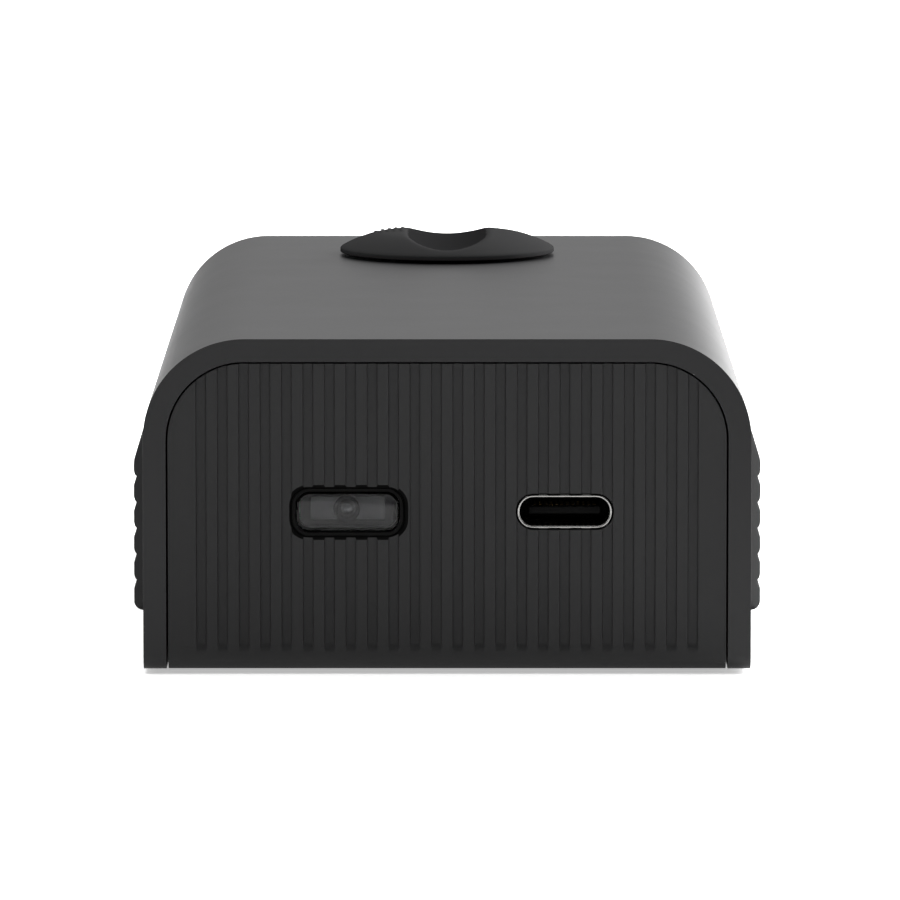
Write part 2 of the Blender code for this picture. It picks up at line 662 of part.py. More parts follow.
def make_window():
    gap = 0.12 * MM
    outer = (WINDOW_SIZE[0] - 2 * gap, WINDOW_SIZE[1] - 2 * gap)
    inner = (WINDOW_SIZE[0] - 2 * BEZEL_WALL, WINDOW_SIZE[1] - 2 * BEZEL_WALL)
    middle = (WINDOW_X, WINDOW_Z)
    ring = rounded_rectangle(*outer, WINDOW_RADIUS - gap, middle)
    hole = rounded_rectangle(*inner, WINDOW_RADIUS - BEZEL_WALL, middle)
    flange_outline = rounded_rectangle(
        outer[0] + 2 * MM, outer[1] + 2 * MM, WINDOW_RADIUS + MM, middle
    )
    flange_front = PANEL_BACK + SEAM_GAP
    flange_back = flange_front + BEZEL_FLANGE - SEAM_GAP
    bezel_front = PANEL_FACE + FLUTE_DEPTH
    bezel = extruded("window_bezel", [ring, hole], bezel_front, flange_back, "XZ", BEZEL_BLACK)
    flange = extruded(
        "bezel_flange", [flange_outline, hole], flange_front, flange_back, "XZ", None, CUTTERS
    )
    join(bezel, flange)
    glass_outline = rounded_rectangle(
        inner[0] - 2 * gap, inner[1] - 2 * gap, WINDOW_RADIUS - BEZEL_WALL - gap, middle
    )
    glass_front = PANEL_FACE + GLASS_RECESS
    extruded(
        "window_glass",
        [glass_outline],
        glass_front,
        glass_front + GLASS_THICKNESS,
        "XZ",
        SMOKED,
    )
    board_front = SENSOR_BACK + FIT_GAP
    housing_front = SENSOR_BACK - SENSOR_HOUSING_SIZE[1]
    box(
        "sensor_board",
        (WINDOW_X - SENSOR_BOARD_WIDTH / 2, board_front, SENSOR_BOARD_BOTTOM),
        (
            WINDOW_X + SENSOR_BOARD_WIDTH / 2,
            board_front + SENSOR_BOARD_THICKNESS,
            SENSOR_BOARD_TOP,
        ),
        BOARD_GREEN,
    )
    housing = block(
        "sensor_housing",
        SENSOR_HOUSING_SIZE,
        (WINDOW_X, housing_front + SENSOR_HOUSING_SIZE[1] / 2, WINDOW_Z),
        SENSOR_DARK,
    )
    round_edges(housing, 0.2 * MM)
    lens_x = WINDOW_X + LENS_OFFSET[0]
    lens_z = WINDOW_Z + LENS_OFFSET[1]
    plate_back = housing_front - gap
    plate_front = plate_back - SENSOR_PLATE_SIZE[1]
    plate_middle = (WINDOW_X, WINDOW_Z)
    plate_outline = rounded_rectangle(
        SENSOR_PLATE_SIZE[0], SENSOR_PLATE_SIZE[2], 0.1 * MM, plate_middle, 2
    )
    extruded("sensor_plate", [plate_outline], plate_front, plate_back, "XZ", SENSOR_GREY)
    holder_back = plate_front - gap
    holder_front = holder_back - LENS_HOLDER_DEPTH
    holder = cylinder(
        "lens_holder",
        LENS_HOLDER_RADIUS,
        (lens_x, holder_front, lens_z),
        (lens_x, holder_back, lens_z),
        "Y",
        32,
        LENS_BLACK,
    )
    seat = cylinder(
        "lens_seat",
        LENS_RADIUS + gap,
        (lens_x, holder_front - LENS_RADIUS, lens_z),
        (lens_x, holder_front + LENS_HOLDER_DEPTH / 2, lens_z),
        "Y",
        24,
        None,
        CUTTERS,
    )
    cut(holder, seat)
    lens_back = LENS_HOLDER_DEPTH / 2 - gap
    angles = [math.radians(15 * i) for i in range(7)]
    dome = [(LENS_RADIUS * math.sin(a), LENS_RADIUS * 0.6 * math.cos(a)) for a in angles]
    barrel = [(LENS_RADIUS, -lens_back), (0.0, -lens_back)]
    lens = turned("lens", dome + barrel, (0, 0, 0), 24, LENS_GLASS)
    lens.rotation_euler = (math.pi / 2, 0, 0)
    lens.location = (lens_x, holder_front, lens_z)


# ---- USB-C socket ----


def make_usb():
    mouth = PANEL_FACE + USB_RECESS
    back = mouth + USB_LENGTH
    middle = (USB_X, USB_Z)
    outer = rounded_rectangle(*USB_SIZE, USB_CORNER, middle, 8)
    inner_size = (USB_SIZE[0] - 2 * USB_WALL, USB_SIZE[1] - 2 * USB_WALL)
    inner = rounded_rectangle(*inner_size, USB_CORNER - USB_WALL, middle, 8)
    extruded("usb_shell", [outer, inner], mouth, back, "XZ", STEEL)
    gap = 0.1 * MM
    plug = rounded_rectangle(
        inner_size[0] - 2 * gap, inner_size[1] - 2 * gap, USB_CORNER - USB_WALL - gap, middle, 8
    )
    insulator = extruded(
        "usb_tongue", [plug], back - INSULATOR_DEPTH, back - gap, "XZ", NYLON_BLACK
    )
    tongue_back = back - INSULATOR_DEPTH / 2
    tongue = block(
        "tongue_blade",
        (TONGUE_SIZE[0], TONGUE_SIZE[1] + INSULATOR_DEPTH / 2, TONGUE_SIZE[2]),
        (USB_X, tongue_back - (TONGUE_SIZE[1] + INSULATOR_DEPTH / 2) / 2, USB_Z),
        None,
        CUTTERS,
    )
    join(insulator, tongue)


# ---- Inner frame, main board, battery ----


def board_screw_places():
    x = BOARD_WIDTH / 2 - BOARD_SCREW_INSET
    y = BOARD_LENGTH / 2 - BOARD_SCREW_INSET
    return four_corners(x, y, BOARD_MIDDLE_Y)


def make_frame():
    half = BOARD_WIDTH / 2
    low_y = BOARD_FRONT_Y
    high_y = BOARD_REAR_Y
    frame = box("chassis_frame", (-half, low_y, FRAME_BOTTOM), (half, high_y, FRAME_TOP), NYLON_BLACK)
    inside = box(
        "frame_inside",
        (-half + FRAME_WALL, low_y + FRAME_WALL, FRAME_BOTTOM - FRAME_WALL),
        (half - FRAME_WALL, high_y - FRAME_WALL, FRAME_TOP + FRAME_WALL),
        None,
        CUTTERS,
    )
    cut(frame, inside)
    posts = []
    holes = []
    for name, x, y in board_screw_places():
        size = (FRAME_POST, FRAME_POST, FRAME_TOP - FRAME_BOTTOM)
        middle = (x, y, (FRAME_TOP + FRAME_BOTTOM) / 2)
        posts.append(block(f"frame_post_{name}", size, middle, None, CUTTERS))
        holes.append(
            cylinder(
                f"frame_post_hole_{name}",
                SMALL_SCREW_SHANK_RADIUS + STEM_GAP / 2,
                (x, y, FRAME_TOP - SMALL_SCREW_LENGTH),
                (x, y, FRAME_TOP + FRAME_WALL),
                steps=12,
                collection=CUTTERS,
            )
        )
    radar_back = RADAR_FACE - RADAR_BOARD_SIZE[1]
    sides = []
    for side in (-1, 1):
        x = side * (RADAR_BOARD_SIZE[0] / 2 + FRAME_WALL / 2)
        rail_low = high_y - FRAME_WALL / 2
        rail_high = RADAR_FACE + FIT_GAP
        size = (2 * FRAME_WALL, rail_high - rail_low, FRAME_TOP - FRAME_BOTTOM)
        middle = (x, (rail_low + rail_high) / 2, (FRAME_TOP + FRAME_BOTTOM) / 2)
        sides.append(block(f"radar_rail_{side}", size, middle, None, CUTTERS))
    slot = box(
        "radar_slot",
        (-RADAR_BOARD_SIZE[0] / 2 - FIT_GAP, radar_back - FIT_GAP, FRAME_BOTTOM + FRAME_WALL),
        (RADAR_BOARD_SIZE[0] / 2 + FIT_GAP, RADAR_FACE + 2 * FIT_GAP, FRAME_TOP + FRAME_WALL),
        None,
        CUTTERS,
    )
    sensor_back = SENSOR_BACK + FIT_GAP + SENSOR_BOARD_THICKNESS
    ledge = box(
        "sensor_ledge",
        (WINDOW_X - SENSOR_BOARD_WIDTH / 2, SENSOR_BACK, FRAME_BOTTOM),
        (WINDOW_X + SENSOR_BOARD_WIDTH / 2, low_y + FRAME_WALL / 2, FRAME_TOP),
        None,
        CUTTERS,
    )
    ledge_slot = box(
        "sensor_slot",
        (
            WINDOW_X - SENSOR_BOARD_WIDTH,
            SENSOR_BACK - FRAME_WALL,
            SENSOR_BOARD_BOTTOM - FIT_GAP,
        ),
        (WINDOW_X + SENSOR_BOARD_WIDTH, sensor_back + FIT_GAP, SENSOR_BOARD_TOP),
        None,
        CUTTERS,
    )
    join(frame, *posts, *sides, ledge)
    cut(frame, *holes, slot, ledge_slot)


def make_board():
    half = BOARD_WIDTH / 2
    tab_low = USB_X - BOARD_TAB_WIDTH / 2
    tab_high = USB_X + BOARD_TAB_WIDTH / 2
    tab_front = PANEL_BACK + FIT_GAP
    outline = [
        (-half, BOARD_FRONT_Y),
        (tab_low, BOARD_FRONT_Y),
        (tab_low, tab_front),
        (tab_high, tab_front),
        (tab_high, BOARD_FRONT_Y),
        (half, BOARD_FRONT_Y),
        (half, BOARD_REAR_Y),
        (-half, BOARD_REAR_Y),
    ]
    holes = [arc((LEAD_X, LEAD_Y), LEAD_HOLE_RADIUS, 0, 337.5, 15)]
    for name, x, y in board_screw_places():
        holes.append(arc((x, y), SMALL_SCREW_SHANK_RADIUS + SEAM_GAP, 0, 337.5, 15))
        screw_piece(
            f"board_screw_{name}",
            x,
            y,
            BOARD_TOP + FIT_GAP,
            SMALL_SCREW_HEAD_RADIUS,
            SMALL_SCREW_HEAD_HEIGHT,
            SMALL_SCREW_SHANK_RADIUS,
            SMALL_SCREW_LENGTH,
            -1,
        )
    extruded("main_board", [outline] + holes, BOARD_BOTTOM, BOARD_TOP, "XY", BOARD_GREEN)


def on_board(name, size, x, y, material, rounding=0.0):
    """A part that stands on the main board."""
    middle = (x, y, BOARD_TOP + FIT_GAP / 2 + size[2] / 2)
    piece = block(name, size, middle, material)
    if rounding:
        round_edges(piece, rounding)
    return piece


def make_board_parts():
    row_one = BOARD_FRONT_Y + 23.4 * MM
    row_two = row_one + 16 * MM
    row_three = row_two + 12 * MM
    can = (12 * MM, 16 * MM, 2.0 * MM)
    on_board("processor_shield", (18 * MM, 16 * MM, 2.2 * MM), -6 * MM, row_one, TINPLATE, 0.4 * MM)
    on_board("wireless_module", can, 12 * MM, row_one, TINPLATE, 0.4 * MM)
    on_board("memory_chip", (9 * MM, 7 * MM, 1.0 * MM), 0.0, row_two, CHIP_BLACK, 0.1 * MM)
    on_board("charge_coil", (5 * MM, 5 * MM, 2.4 * MM), 12 * MM, row_two, CHIP_BLACK, 0.5 * MM)
    socket = (6 * MM, 5 * MM, 3.2 * MM)
    plug = (5 * MM, 4 * MM, 2.6 * MM)
    on_board("battery_socket", socket, LEAD_X, row_three, CREAM_PLASTIC)
    plug_y = row_three + (socket[1] + plug[1]) / 2 + FIT_GAP
    on_board("battery_plug", plug, LEAD_X, plug_y, CREAM_PLASTIC)
    make_lead(plug_y + plug[1] / 2 + FIT_GAP, BOARD_TOP + FIT_GAP / 2 + plug[2] / 2)


def make_lead(start_y, start_z):
    """The battery's two wires in one sleeve: along the board, down its hole and back to the cell."""
    end_z = BATTERY_BOTTOM + BATTERY_SIZE[2] / 2
    over = [(start_y, start_z)]
    over += arc((LEAD_Y - LEAD_BEND, start_z - LEAD_BEND), LEAD_BEND, 90, 0, 6)
    over += arc((LEAD_Y - LEAD_BEND, end_z + LEAD_BEND), LEAD_BEND, 0, -90, 6)
    over.append((CELL_END + FIT_GAP, end_z))
    curve = bpy.data.curves.new("battery_lead", "CURVE")
    curve.dimensions = "3D"
    curve.bevel_depth = LEAD_RADIUS
    curve.bevel_resolution = 2
    curve.use_fill_caps = True
    spline = curve.splines.new("POLY")
    spline.points.add(len(over) - 1)
    for point, (y, z) in zip(spline.points, over):
        point.co = (LEAD_X, y, z, 1.0)
    place(bpy.data.objects.new("battery_lead", curve), LEAD_RED)


def make_battery():
    pad_bottom = BASE_TOP + FIT_GAP
    pad = (BATTERY_SIZE[0] * 0.8, BATTERY_SIZE[1] * 0.8, BATTERY_PAD)
    block("battery_pad", pad, (0, BOARD_MIDDLE_Y, pad_bottom + BATTERY_PAD / 2), FOAM)
    middle = (0, BOARD_MIDDLE_Y, BATTERY_BOTTOM + BATTERY_SIZE[2] / 2)
    cell = block("battery_cell", BATTERY_SIZE, middle, POUCH)
    round_edges(cell, 1.5 * MM, 3)


# ---- Radar module behind the rear panel ----


def make_radar():
    top = FRAME_BOTTOM + FRAME_WALL + FIT_GAP + RADAR_BOARD_SIZE[2]
    middle_z = top - RADAR_BOARD_SIZE[2] / 2
    board_y = RADAR_FACE - RADAR_BOARD_SIZE[1] / 2
    block("radar_board", RADAR_BOARD_SIZE, (0, board_y, middle_z), BOARD_GREEN)
    can_y = RADAR_FACE - RADAR_BOARD_SIZE[1] - FIT_GAP / 2 - RADAR_CAN_SIZE[1] / 2
    can_z = top - RADAR_CAN_SIZE[2] / 2 - 1 * MM
    can = block("radar_shield", RADAR_CAN_SIZE, (0, can_y, can_z), TINPLATE)
    round_edges(can, 0.4 * MM)
    patch_y = RADAR_FACE + FIT_GAP / 2 + PATCH_THICKNESS / 2
    feed = block(
        "radar_antenna",
        (3 * PATCH_PITCH + PATCH_SIZE, PATCH_THICKNESS, 0.8 * MM),
        (0, patch_y, middle_z),
        COPPER,
    )
    patches = []
    patch_size = (PATCH_SIZE, PATCH_THICKNESS, PATCH_SIZE)
    feed_size = (0.8 * MM, PATCH_THICKNESS, PATCH_PITCH / 2)
    for row in (-1, 1):
        for column in range(4):
            where = f"{row}_{column}"
            x = (column - 1.5) * PATCH_PITCH
            patch = (x, patch_y, middle_z + row * PATCH_PITCH / 2)
            line = (x, patch_y, middle_z + row * PATCH_PITCH / 4)
            patches.append(block(f"patch_{where}", patch_size, patch, None, CUTTERS))
            patches.append(block(f"patch_feed_{where}", feed_size, line, None, CUTTERS))
    join(feed, *patches)


# ---- Button, spring and switch ----


def dome_profile():
    """The cap's outside from the middle of the top out to the rim, as heights above the rim's foot."""
    shoulder = BUTTON_RISE - BUTTON_RIM
    points = [(0.0, BUTTON_RISE)]
    for share, drop in ((0.4, 0.0), (0.6, 0.06), (0.76, 0.29), (0.88, 0.61), (0.96, 0.93)):
        points.append((BUTTON_RADIUS * share, BUTTON_RISE - drop * shoulder))
    points.append((BUTTON_RADIUS, BUTTON_RIM * 0.6))
    points.append((BUTTON_RADIUS * 0.995, 0.0))
    return points


def make_button():
    middle = (0, BUTTON_Y, RIM_BOTTOM)
    stem_end = STEM_BOTTOM - RIM_BOTTOM
    clip_high = CLIP_TOP + FIT_GAP / 3 - RIM_BOTTOM
    clip_low = CLIP_TOP - CLIP_THICKNESS - FIT_GAP / 3 - RIM_BOTTOM
    neck = STEM_RADIUS - CLIP_GROOVE
    profile = dome_profile() + [
        (STEM_RADIUS, 0.0),
        (STEM_RADIUS, clip_high),
        (neck, clip_high),
        (neck, clip_low),
        (STEM_RADIUS, clip_low),
        (STEM_RADIUS, stem_end),
        (0.0, stem_end),
    ]
    cap = turned("button_cap", profile, middle, 48, BUTTON_BLACK)
    groove_z = BUTTON_TOP - GROOVE_DEPTH + GROOVE_RADIUS
    groove = cylinder(
        "finger_groove",
        GROOVE_RADIUS,
        (0, BUTTON_Y - 2 * BUTTON_RADIUS, groove_z),
        (0, BUTTON_Y + 2 * BUTTON_RADIUS, groove_z),
        "Y",
        72,
        None,
        CUTTERS,
    )
    cut(cap, groove)
    ridges = []
    for i in range(RIDGE_COUNT):
        x = -BUTTON_RADIUS * (0.42 + 0.062 * i)
        lift = RIDGE_LIFT - RIDGE_DROP * i**2
        length = 5.0 * MM - 0.5 * MM * i
        ridges.append(
            block(
                f"cap_ridge_{i}",
                (0.35 * MM, length, 0.8 * MM),
                (x, BUTTON_Y, BUTTON_TOP + lift - 0.4 * MM),
                None,
                CUTTERS,
            )
        )
    join(cap, *ridges)
    clip_outer = STEM_RADIUS + CLIP_WIDTH
    clip_inner = neck + FIT_GAP / 3
    ring = arc((0, BUTTON_Y), clip_outer, -60, 240, 24)
    ring += arc((0, BUTTON_Y), clip_inner, 240, -60, 24)
    extruded("button_clip", [ring], CLIP_TOP - CLIP_THICKNESS, CLIP_TOP, "XY", STEEL)


def make_spring():
    """A low coil between the pocket's floor and the cap's underside."""
    low = BODY_TOP - SPRING_POCKET_DEPTH + SPRING_WIRE + FIT_GAP / 2
    high = RIM_BOTTOM - SPRING_WIRE - FIT_GAP / 3
    radius = (STEM_RADIUS + SPRING_POCKET_RADIUS) / 2
    steps = 20
    count = SPRING_TURNS * steps
    curve = bpy.data.curves.new("button_spring", "CURVE")
    curve.dimensions = "3D"
    curve.bevel_depth = SPRING_WIRE
    curve.bevel_resolution = 1
    curve.use_fill_caps = True
    spline = curve.splines.new("POLY")
    spline.points.add(count)
    for i, point in enumerate(spline.points):
        angle = 2 * math.pi * i / steps
        height = low + (high - low) * i / count
        x = radius * math.cos(angle)
        y = BUTTON_Y + radius * math.sin(angle)
        point.co = (x, y, height, 1.0)
    place(bpy.data.objects.new("button_spring", curve), STEEL)


def make_switch():
    board_bottom = SWITCH_BOARD_TOP - SWITCH_BOARD_SIZE[2]
    outline = rounded_rectangle(
        SWITCH_BOARD_SIZE[0], SWITCH_BOARD_SIZE[1], 1 * MM, (0, BUTTON_Y), 3
    )
    holes = []
    for side, word in ((-1, "left"), (1, "right")):
        x = side * switch_screw_x()
        holes.append(arc((x, BUTTON_Y), SMALL_SCREW_SHANK_RADIUS + SEAM_GAP, 0, 337.5, 15))
        screw_piece(
            f"switch_screw_{word}",
            x,
            BUTTON_Y,
            board_bottom - FIT_GAP,
            SMALL_SCREW_HEAD_RADIUS,
            SMALL_SCREW_HEAD_HEIGHT,
            SMALL_SCREW_SHANK_RADIUS,
            SMALL_SCREW_LENGTH,
            1,
        )
    extruded("switch_board", [outline] + holes, board_bottom, SWITCH_BOARD_TOP, "XY", BOARD_GREEN)
    bottom = SWITCH_BOARD_TOP + FIT_GAP
    body = block(
        "switch_body",
        SWITCH_SIZE,
        (0, BUTTON_Y, bottom + SWITCH_SIZE[2] / 2),
        CHIP_BLACK,
    )
    well = cylinder(
        "switch_well",
        SWITCH_PLUNGER_RADIUS + FIT_GAP,
        (0, BUTTON_Y, SWITCH_TOP - FIT_GAP - 2 * BUTTON_TRAVEL - FIT_GAP),
        (0, BUTTON_Y, SWITCH_TOP + SWITCH_SIZE[2]),
        steps=24,
        collection=CUTTERS,
    )
    cut(body, well)
    cylinder(
        "switch_plunger",
        SWITCH_PLUNGER_RADIUS,
        (0, BUTTON_Y, SWITCH_TOP - FIT_GAP),
        (0, BUTTON_Y, PLUNGER_TOP),
        material=CREAM_PLASTIC,
    )


# ---- Flat cables and their sockets ----


def ribbon(name, x, route):
    """A flat cable of even thickness along a route of (y, z) points."""
    mesh = bpy.data.meshes.new(name)
    bm = bmesh.new()
    left = [bm.verts.new((x - RIBBON_WIDTH / 2, y, z)) for y, z in route]
    edges = [bm.edges.new(pair) for pair in zip(left, left[1:])]
    grown = bmesh.ops.extrude_edge_only(bm, edges=edges)["geom"]
    moved = [item for item in grown if isinstance(item, bmesh.types.BMVert)]
    bmesh.ops.translate(bm, vec=(RIBBON_WIDTH, 0, 0), verts=moved)
    bm.to_mesh(mesh)
    bm.free()
    obj = place(bpy.data.objects.new(name, mesh), RIBBON_AMBER)
    wall = obj.modifiers.new("thickness", "SOLIDIFY")
    wall.thickness = RIBBON_THICKNESS
    wall.offset = 0.0
    wall.use_even_offset = True
    return obj


def make_cables():
    cable_z = BOARD_TOP + FIT_GAP / 2 + SOCKET_SIZE[2] / 2
    reach = SOCKET_SIZE[1] / 2 + FIT_GAP / 2
    bend = 1.2 * MM
    sensor_y = BOARD_FRONT_Y + 5 * MM
    on_board("sensor_cable_socket", SOCKET_SIZE, WINDOW_X, sensor_y, CREAM_PLASTIC)
    sensor_board_back = SENSOR_BACK + FIT_GAP + SENSOR_BOARD_THICKNESS
    sensor_back = sensor_board_back + (FIT_GAP + RIBBON_THICKNESS) / 2
    top_z = SENSOR_BOARD_TOP - 1 * MM
    ribbon(
        "sensor_cable",
        WINDOW_X,
        [
            (sensor_back, top_z),
            (sensor_back, cable_z + bend),
            (sensor_back + bend, cable_z),
            (sensor_y - reach, cable_z),
        ],
    )
    radar_y = BOARD_REAR_Y - 7 * MM
    on_board("radar_cable_socket", SOCKET_SIZE, 0.0, radar_y, CREAM_PLASTIC)
    radar_back = RADAR_FACE - RADAR_BOARD_SIZE[1] - FIT_GAP / 2 - RIBBON_THICKNESS / 2
    low_z = BOARD_BOTTOM - 2.5 * MM
    ribbon(
        "radar_cable",
        0.0,
        [
            (radar_back, low_z),
            (radar_back, cable_z - bend / 2),
            (radar_back - bend / 2, cable_z),
            (radar_y + reach, cable_z),
        ],
    )
    switch_y = BUTTON_Y - SWITCH_BOARD_SIZE[1] / 2 - 6 * MM
    on_board("switch_cable_socket", SOCKET_SIZE, 0.0, switch_y, CREAM_PLASTIC)
    under = SWITCH_BOARD_TOP - SWITCH_BOARD_SIZE[2] - FIT_GAP / 2 - RIBBON_THICKNESS / 2
    ribbon(
        "switch_cable",
        0.0,
        [
            (BUTTON_Y - 1 * MM, under),
            (BUTTON_Y + 3 * MM, under),
            (BUTTON_Y + 5 * MM, under - 1.5 * MM),
            (BUTTON_Y + 3 * MM, cable_z + 1 * MM),
            (BUTTON_Y + 1 * MM, cable_z),
            (switch_y + reach, cable_z),
        ],
    )


# ---- Side grips ----


def grip_profile(side):
    """The ribbed outline of a grip, as (x, z) points from its top down and back up inside."""
    inner = BODY_WIDTH / 2 - GRIP_POCKET + FIT_GAP / 2
    crest = BODY_WIDTH / 2 + GRIP_PROUD
    bottom = BODY_BOTTOM + GRIP_BOTTOM
    top = BODY_BOTTOM + GRIP_TOP
    crest_top = top - GRIP_TOP_SLOPE
    points = [(inner, top), (BODY_WIDTH / 2, top), (crest, crest_top)]
    for i in range(GRIP_RIBS - 1):
        z = crest_top - GRIP_CREST - GRIP_ROUND - i * GRIP_PITCH
        points.append((crest, z + GRIP_ROUND))
        points.append((crest - GRIP_VALLEY * 0.4, z + GRIP_ROUND * 0.3))
        points.append((crest - GRIP_VALLEY, z))
        points.append((crest, z - GRIP_FLANK))
    points.append((crest, bottom + GRIP_CREST))
    points.append((crest - GRIP_PROUD * 0.15, bottom + GRIP_CREST * 0.75))
    points.append((crest - GRIP_PROUD * 0.7, bottom + GRIP_CREST * 0.3))
    points.append((BODY_WIDTH / 2, bottom))
    points.append((inner, bottom))
    return [(side * x, z) for x, z in reversed(points)]


def make_grips():
    for side, word in ((-1, "left"), (1, "right")):
        grip = extruded(
            f"grip_{word}",
            [grip_profile(side)],
            FRONT_Y + GRIP_END_INSET / 2,
            REAR_Y - GRIP_END_INSET / 2,
            "XZ",
            RUBBER,
        )
        shape = grip_outline("grip_shape", side, SEAM_GAP, 2 * GRIP_POCKET, CUTTERS)
        boolean(grip, [shape], "INTERSECT")


make_shell()
make_panels()
make_base()
make_window()
make_usb()
make_frame()
make_board()
make_board_parts()
make_battery()
make_radar()
make_button()
make_spring()
make_switch()
make_cables()
make_grips()
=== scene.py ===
import math

import bmesh
import bpy
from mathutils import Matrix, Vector


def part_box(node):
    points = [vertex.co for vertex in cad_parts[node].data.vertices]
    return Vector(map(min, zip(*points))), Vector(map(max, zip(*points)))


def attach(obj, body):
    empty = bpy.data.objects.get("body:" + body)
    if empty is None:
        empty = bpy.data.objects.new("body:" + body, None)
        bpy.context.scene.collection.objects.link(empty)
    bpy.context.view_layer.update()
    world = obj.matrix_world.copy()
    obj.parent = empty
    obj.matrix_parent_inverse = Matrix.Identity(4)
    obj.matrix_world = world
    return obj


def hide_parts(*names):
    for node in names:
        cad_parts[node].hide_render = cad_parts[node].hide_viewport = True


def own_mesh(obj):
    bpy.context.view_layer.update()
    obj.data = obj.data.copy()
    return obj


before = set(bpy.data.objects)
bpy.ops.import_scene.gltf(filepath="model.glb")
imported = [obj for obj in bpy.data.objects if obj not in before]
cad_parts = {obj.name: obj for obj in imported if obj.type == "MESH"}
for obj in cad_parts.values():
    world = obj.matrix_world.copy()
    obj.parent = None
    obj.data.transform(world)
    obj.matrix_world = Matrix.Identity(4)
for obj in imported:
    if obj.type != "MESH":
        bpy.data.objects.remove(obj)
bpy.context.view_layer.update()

# ---------------------------------------------------------------------------------------------
# Studio
# A white floor and plain soft light: one broad box overhead and behind, a stronger one low behind
# the right shoulder and a narrow strip at each side. The surround is dim in front, so that the
# black plastic stays black.
# ---------------------------------------------------------------------------------------------

MM = 0.001
FRONT_LIGHT = 0.085
REAR_LIGHT = 0.65
FLOOR_GLOW = 0.45
OVERHEAD_POWER = 24.0
RIGHT_POWER = 44.0
STRIP_POWER = 1.3
shell_low, shell_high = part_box("outer_shell")


def piece_from(bm, name, *materials):
    """Makes a finished object of a bmesh, with its place in its mesh."""
    bmesh.ops.recalc_face_normals(bm, faces=bm.faces)
    mesh = bpy.data.meshes.new(name)
    bm.to_mesh(mesh)
    bm.free()
    piece = bpy.data.objects.new(name, mesh)
    bpy.context.scene.collection.objects.link(piece)
    for material in materials:
        mesh.materials.append(material)
    return piece


floor_bm = bmesh.new()
bmesh.ops.create_grid(floor_bm, x_segments=1, y_segments=1, size=4.0)
floor_white = bpy.data.materials.new("floor_white")
floor_white.use_nodes = True
floor_shader = floor_white.node_tree.nodes["Principled BSDF"]
floor_shader.inputs["Base Color"].default_value = (0.92, 0.92, 0.92, 1)
floor_shader.inputs["Roughness"].default_value = 0.9
floor_shader.inputs["Specular IOR Level"].default_value = 0.1
floor_shader.inputs["Emission Color"].default_value = (1, 1, 1, 1)
floor_shader.inputs["Emission Strength"].default_value = FLOOR_GLOW
piece_from(floor_bm, "floor", floor_white)

world = bpy.data.worlds.new("studio")
bpy.context.scene.world = world
world.use_nodes = True
sky_nodes, sky_links = world.node_tree.nodes, world.node_tree.links
surround = sky_nodes["Background"]
surround.inputs["Color"].default_value = (1, 1, 1, 1)
sky_place = sky_nodes.new("ShaderNodeTexCoord")
sky_axis = sky_nodes.new("ShaderNodeVectorMath")
sky_axis.operation = "DOT_PRODUCT"
sky_axis.inputs[1].default_value = (0.0, 0.7, 0.7)
sky_rise = sky_nodes.new("ShaderNodeMapRange")
sky_rise.inputs["From Min"].default_value = -0.2
sky_rise.inputs["From Max"].default_value = 0.9
sky_rise.inputs["To Min"].default_value = FRONT_LIGHT
sky_rise.inputs["To Max"].default_value = REAR_LIGHT
sky_links.new(sky_place.outputs["Generated"], sky_axis.inputs[0])
sky_links.new(sky_axis.outputs["Value"], sky_rise.inputs["Value"])
sky_links.new(sky_rise.outputs["Result"], surround.inputs["Strength"])
seen = sky_nodes.new("ShaderNodeBackground")
seen.inputs["Color"].default_value = (1, 1, 1, 1)
seen.inputs["Strength"].default_value = 1.0
ray = sky_nodes.new("ShaderNodeLightPath")
pick = sky_nodes.new("ShaderNodeMixShader")
sky_links.new(ray.outputs["Is Camera Ray"], pick.inputs["Fac"])
sky_links.new(surround.outputs["Background"], pick.inputs[1])
sky_links.new(seen.outputs["Background"], pick.inputs[2])
sky_links.new(pick.outputs["Shader"], sky_nodes["World Output"].inputs["Surface"])


def softbox(name, place, aim, size, power):
    light = bpy.data.lights.new(name, "AREA")
    light.shape = "RECTANGLE"
    light.size, light.size_y = size
    light.energy = power
    lamp = bpy.data.objects.new(name, light)
    bpy.context.scene.collection.objects.link(lamp)
    lamp.location = place
    lamp.rotation_euler = (Vector(aim) - Vector(place)).to_track_quat("-Z", "Y").to_euler()


softbox("overhead_light", (0.0, 0.25, 1.3), (0, 0, 0), (1.8, 1.8), OVERHEAD_POWER)
softbox("right_light", (0.9, 0.75, 0.42), (0, 0, 0.02), (0.7, 0.7), RIGHT_POWER)
for side, x in (("left", -0.75), ("right", 0.75)):
    softbox(f"{side}_strip", (x, -0.25, 0.3), (0, 0, 0.02), (0.14, 0.55), STRIP_POWER)

camera_back = 764.2 * MM
camera_up = 110.76 * MM
camera_tilt = 6.714
camera_data = bpy.data.cameras.new("camera")
camera_data.sensor_width = 36.0
camera_data.lens = 329.6
camera_data.shift_x = 0.0032
camera_data.clip_start = 0.05
camera_data.clip_end = 20.0
camera = bpy.data.objects.new("camera", camera_data)
bpy.context.scene.collection.objects.link(camera)
camera.location = (0.0, shell_low.y - camera_back, shell_low.z + camera_up)
camera.rotation_euler = (math.radians(90 - camera_tilt), 0, 0)
bpy.context.scene.camera = camera
bpy.context.scene.view_settings.view_transform = "Standard"

# ---------------------------------------------------------------------------------------------
# Base plate, feet and screws
# A flat moulded plate closes the underside. Four cross-head screws run up through it into the
# shell, and four round rubber feet are glued into shallow pockets.
# ---------------------------------------------------------------------------------------------

HOUSING = "housing"
CORNERS = ("front_left", "front_right", "rear_left", "rear_right")
SIDES = (("left", -1), ("right", 1))


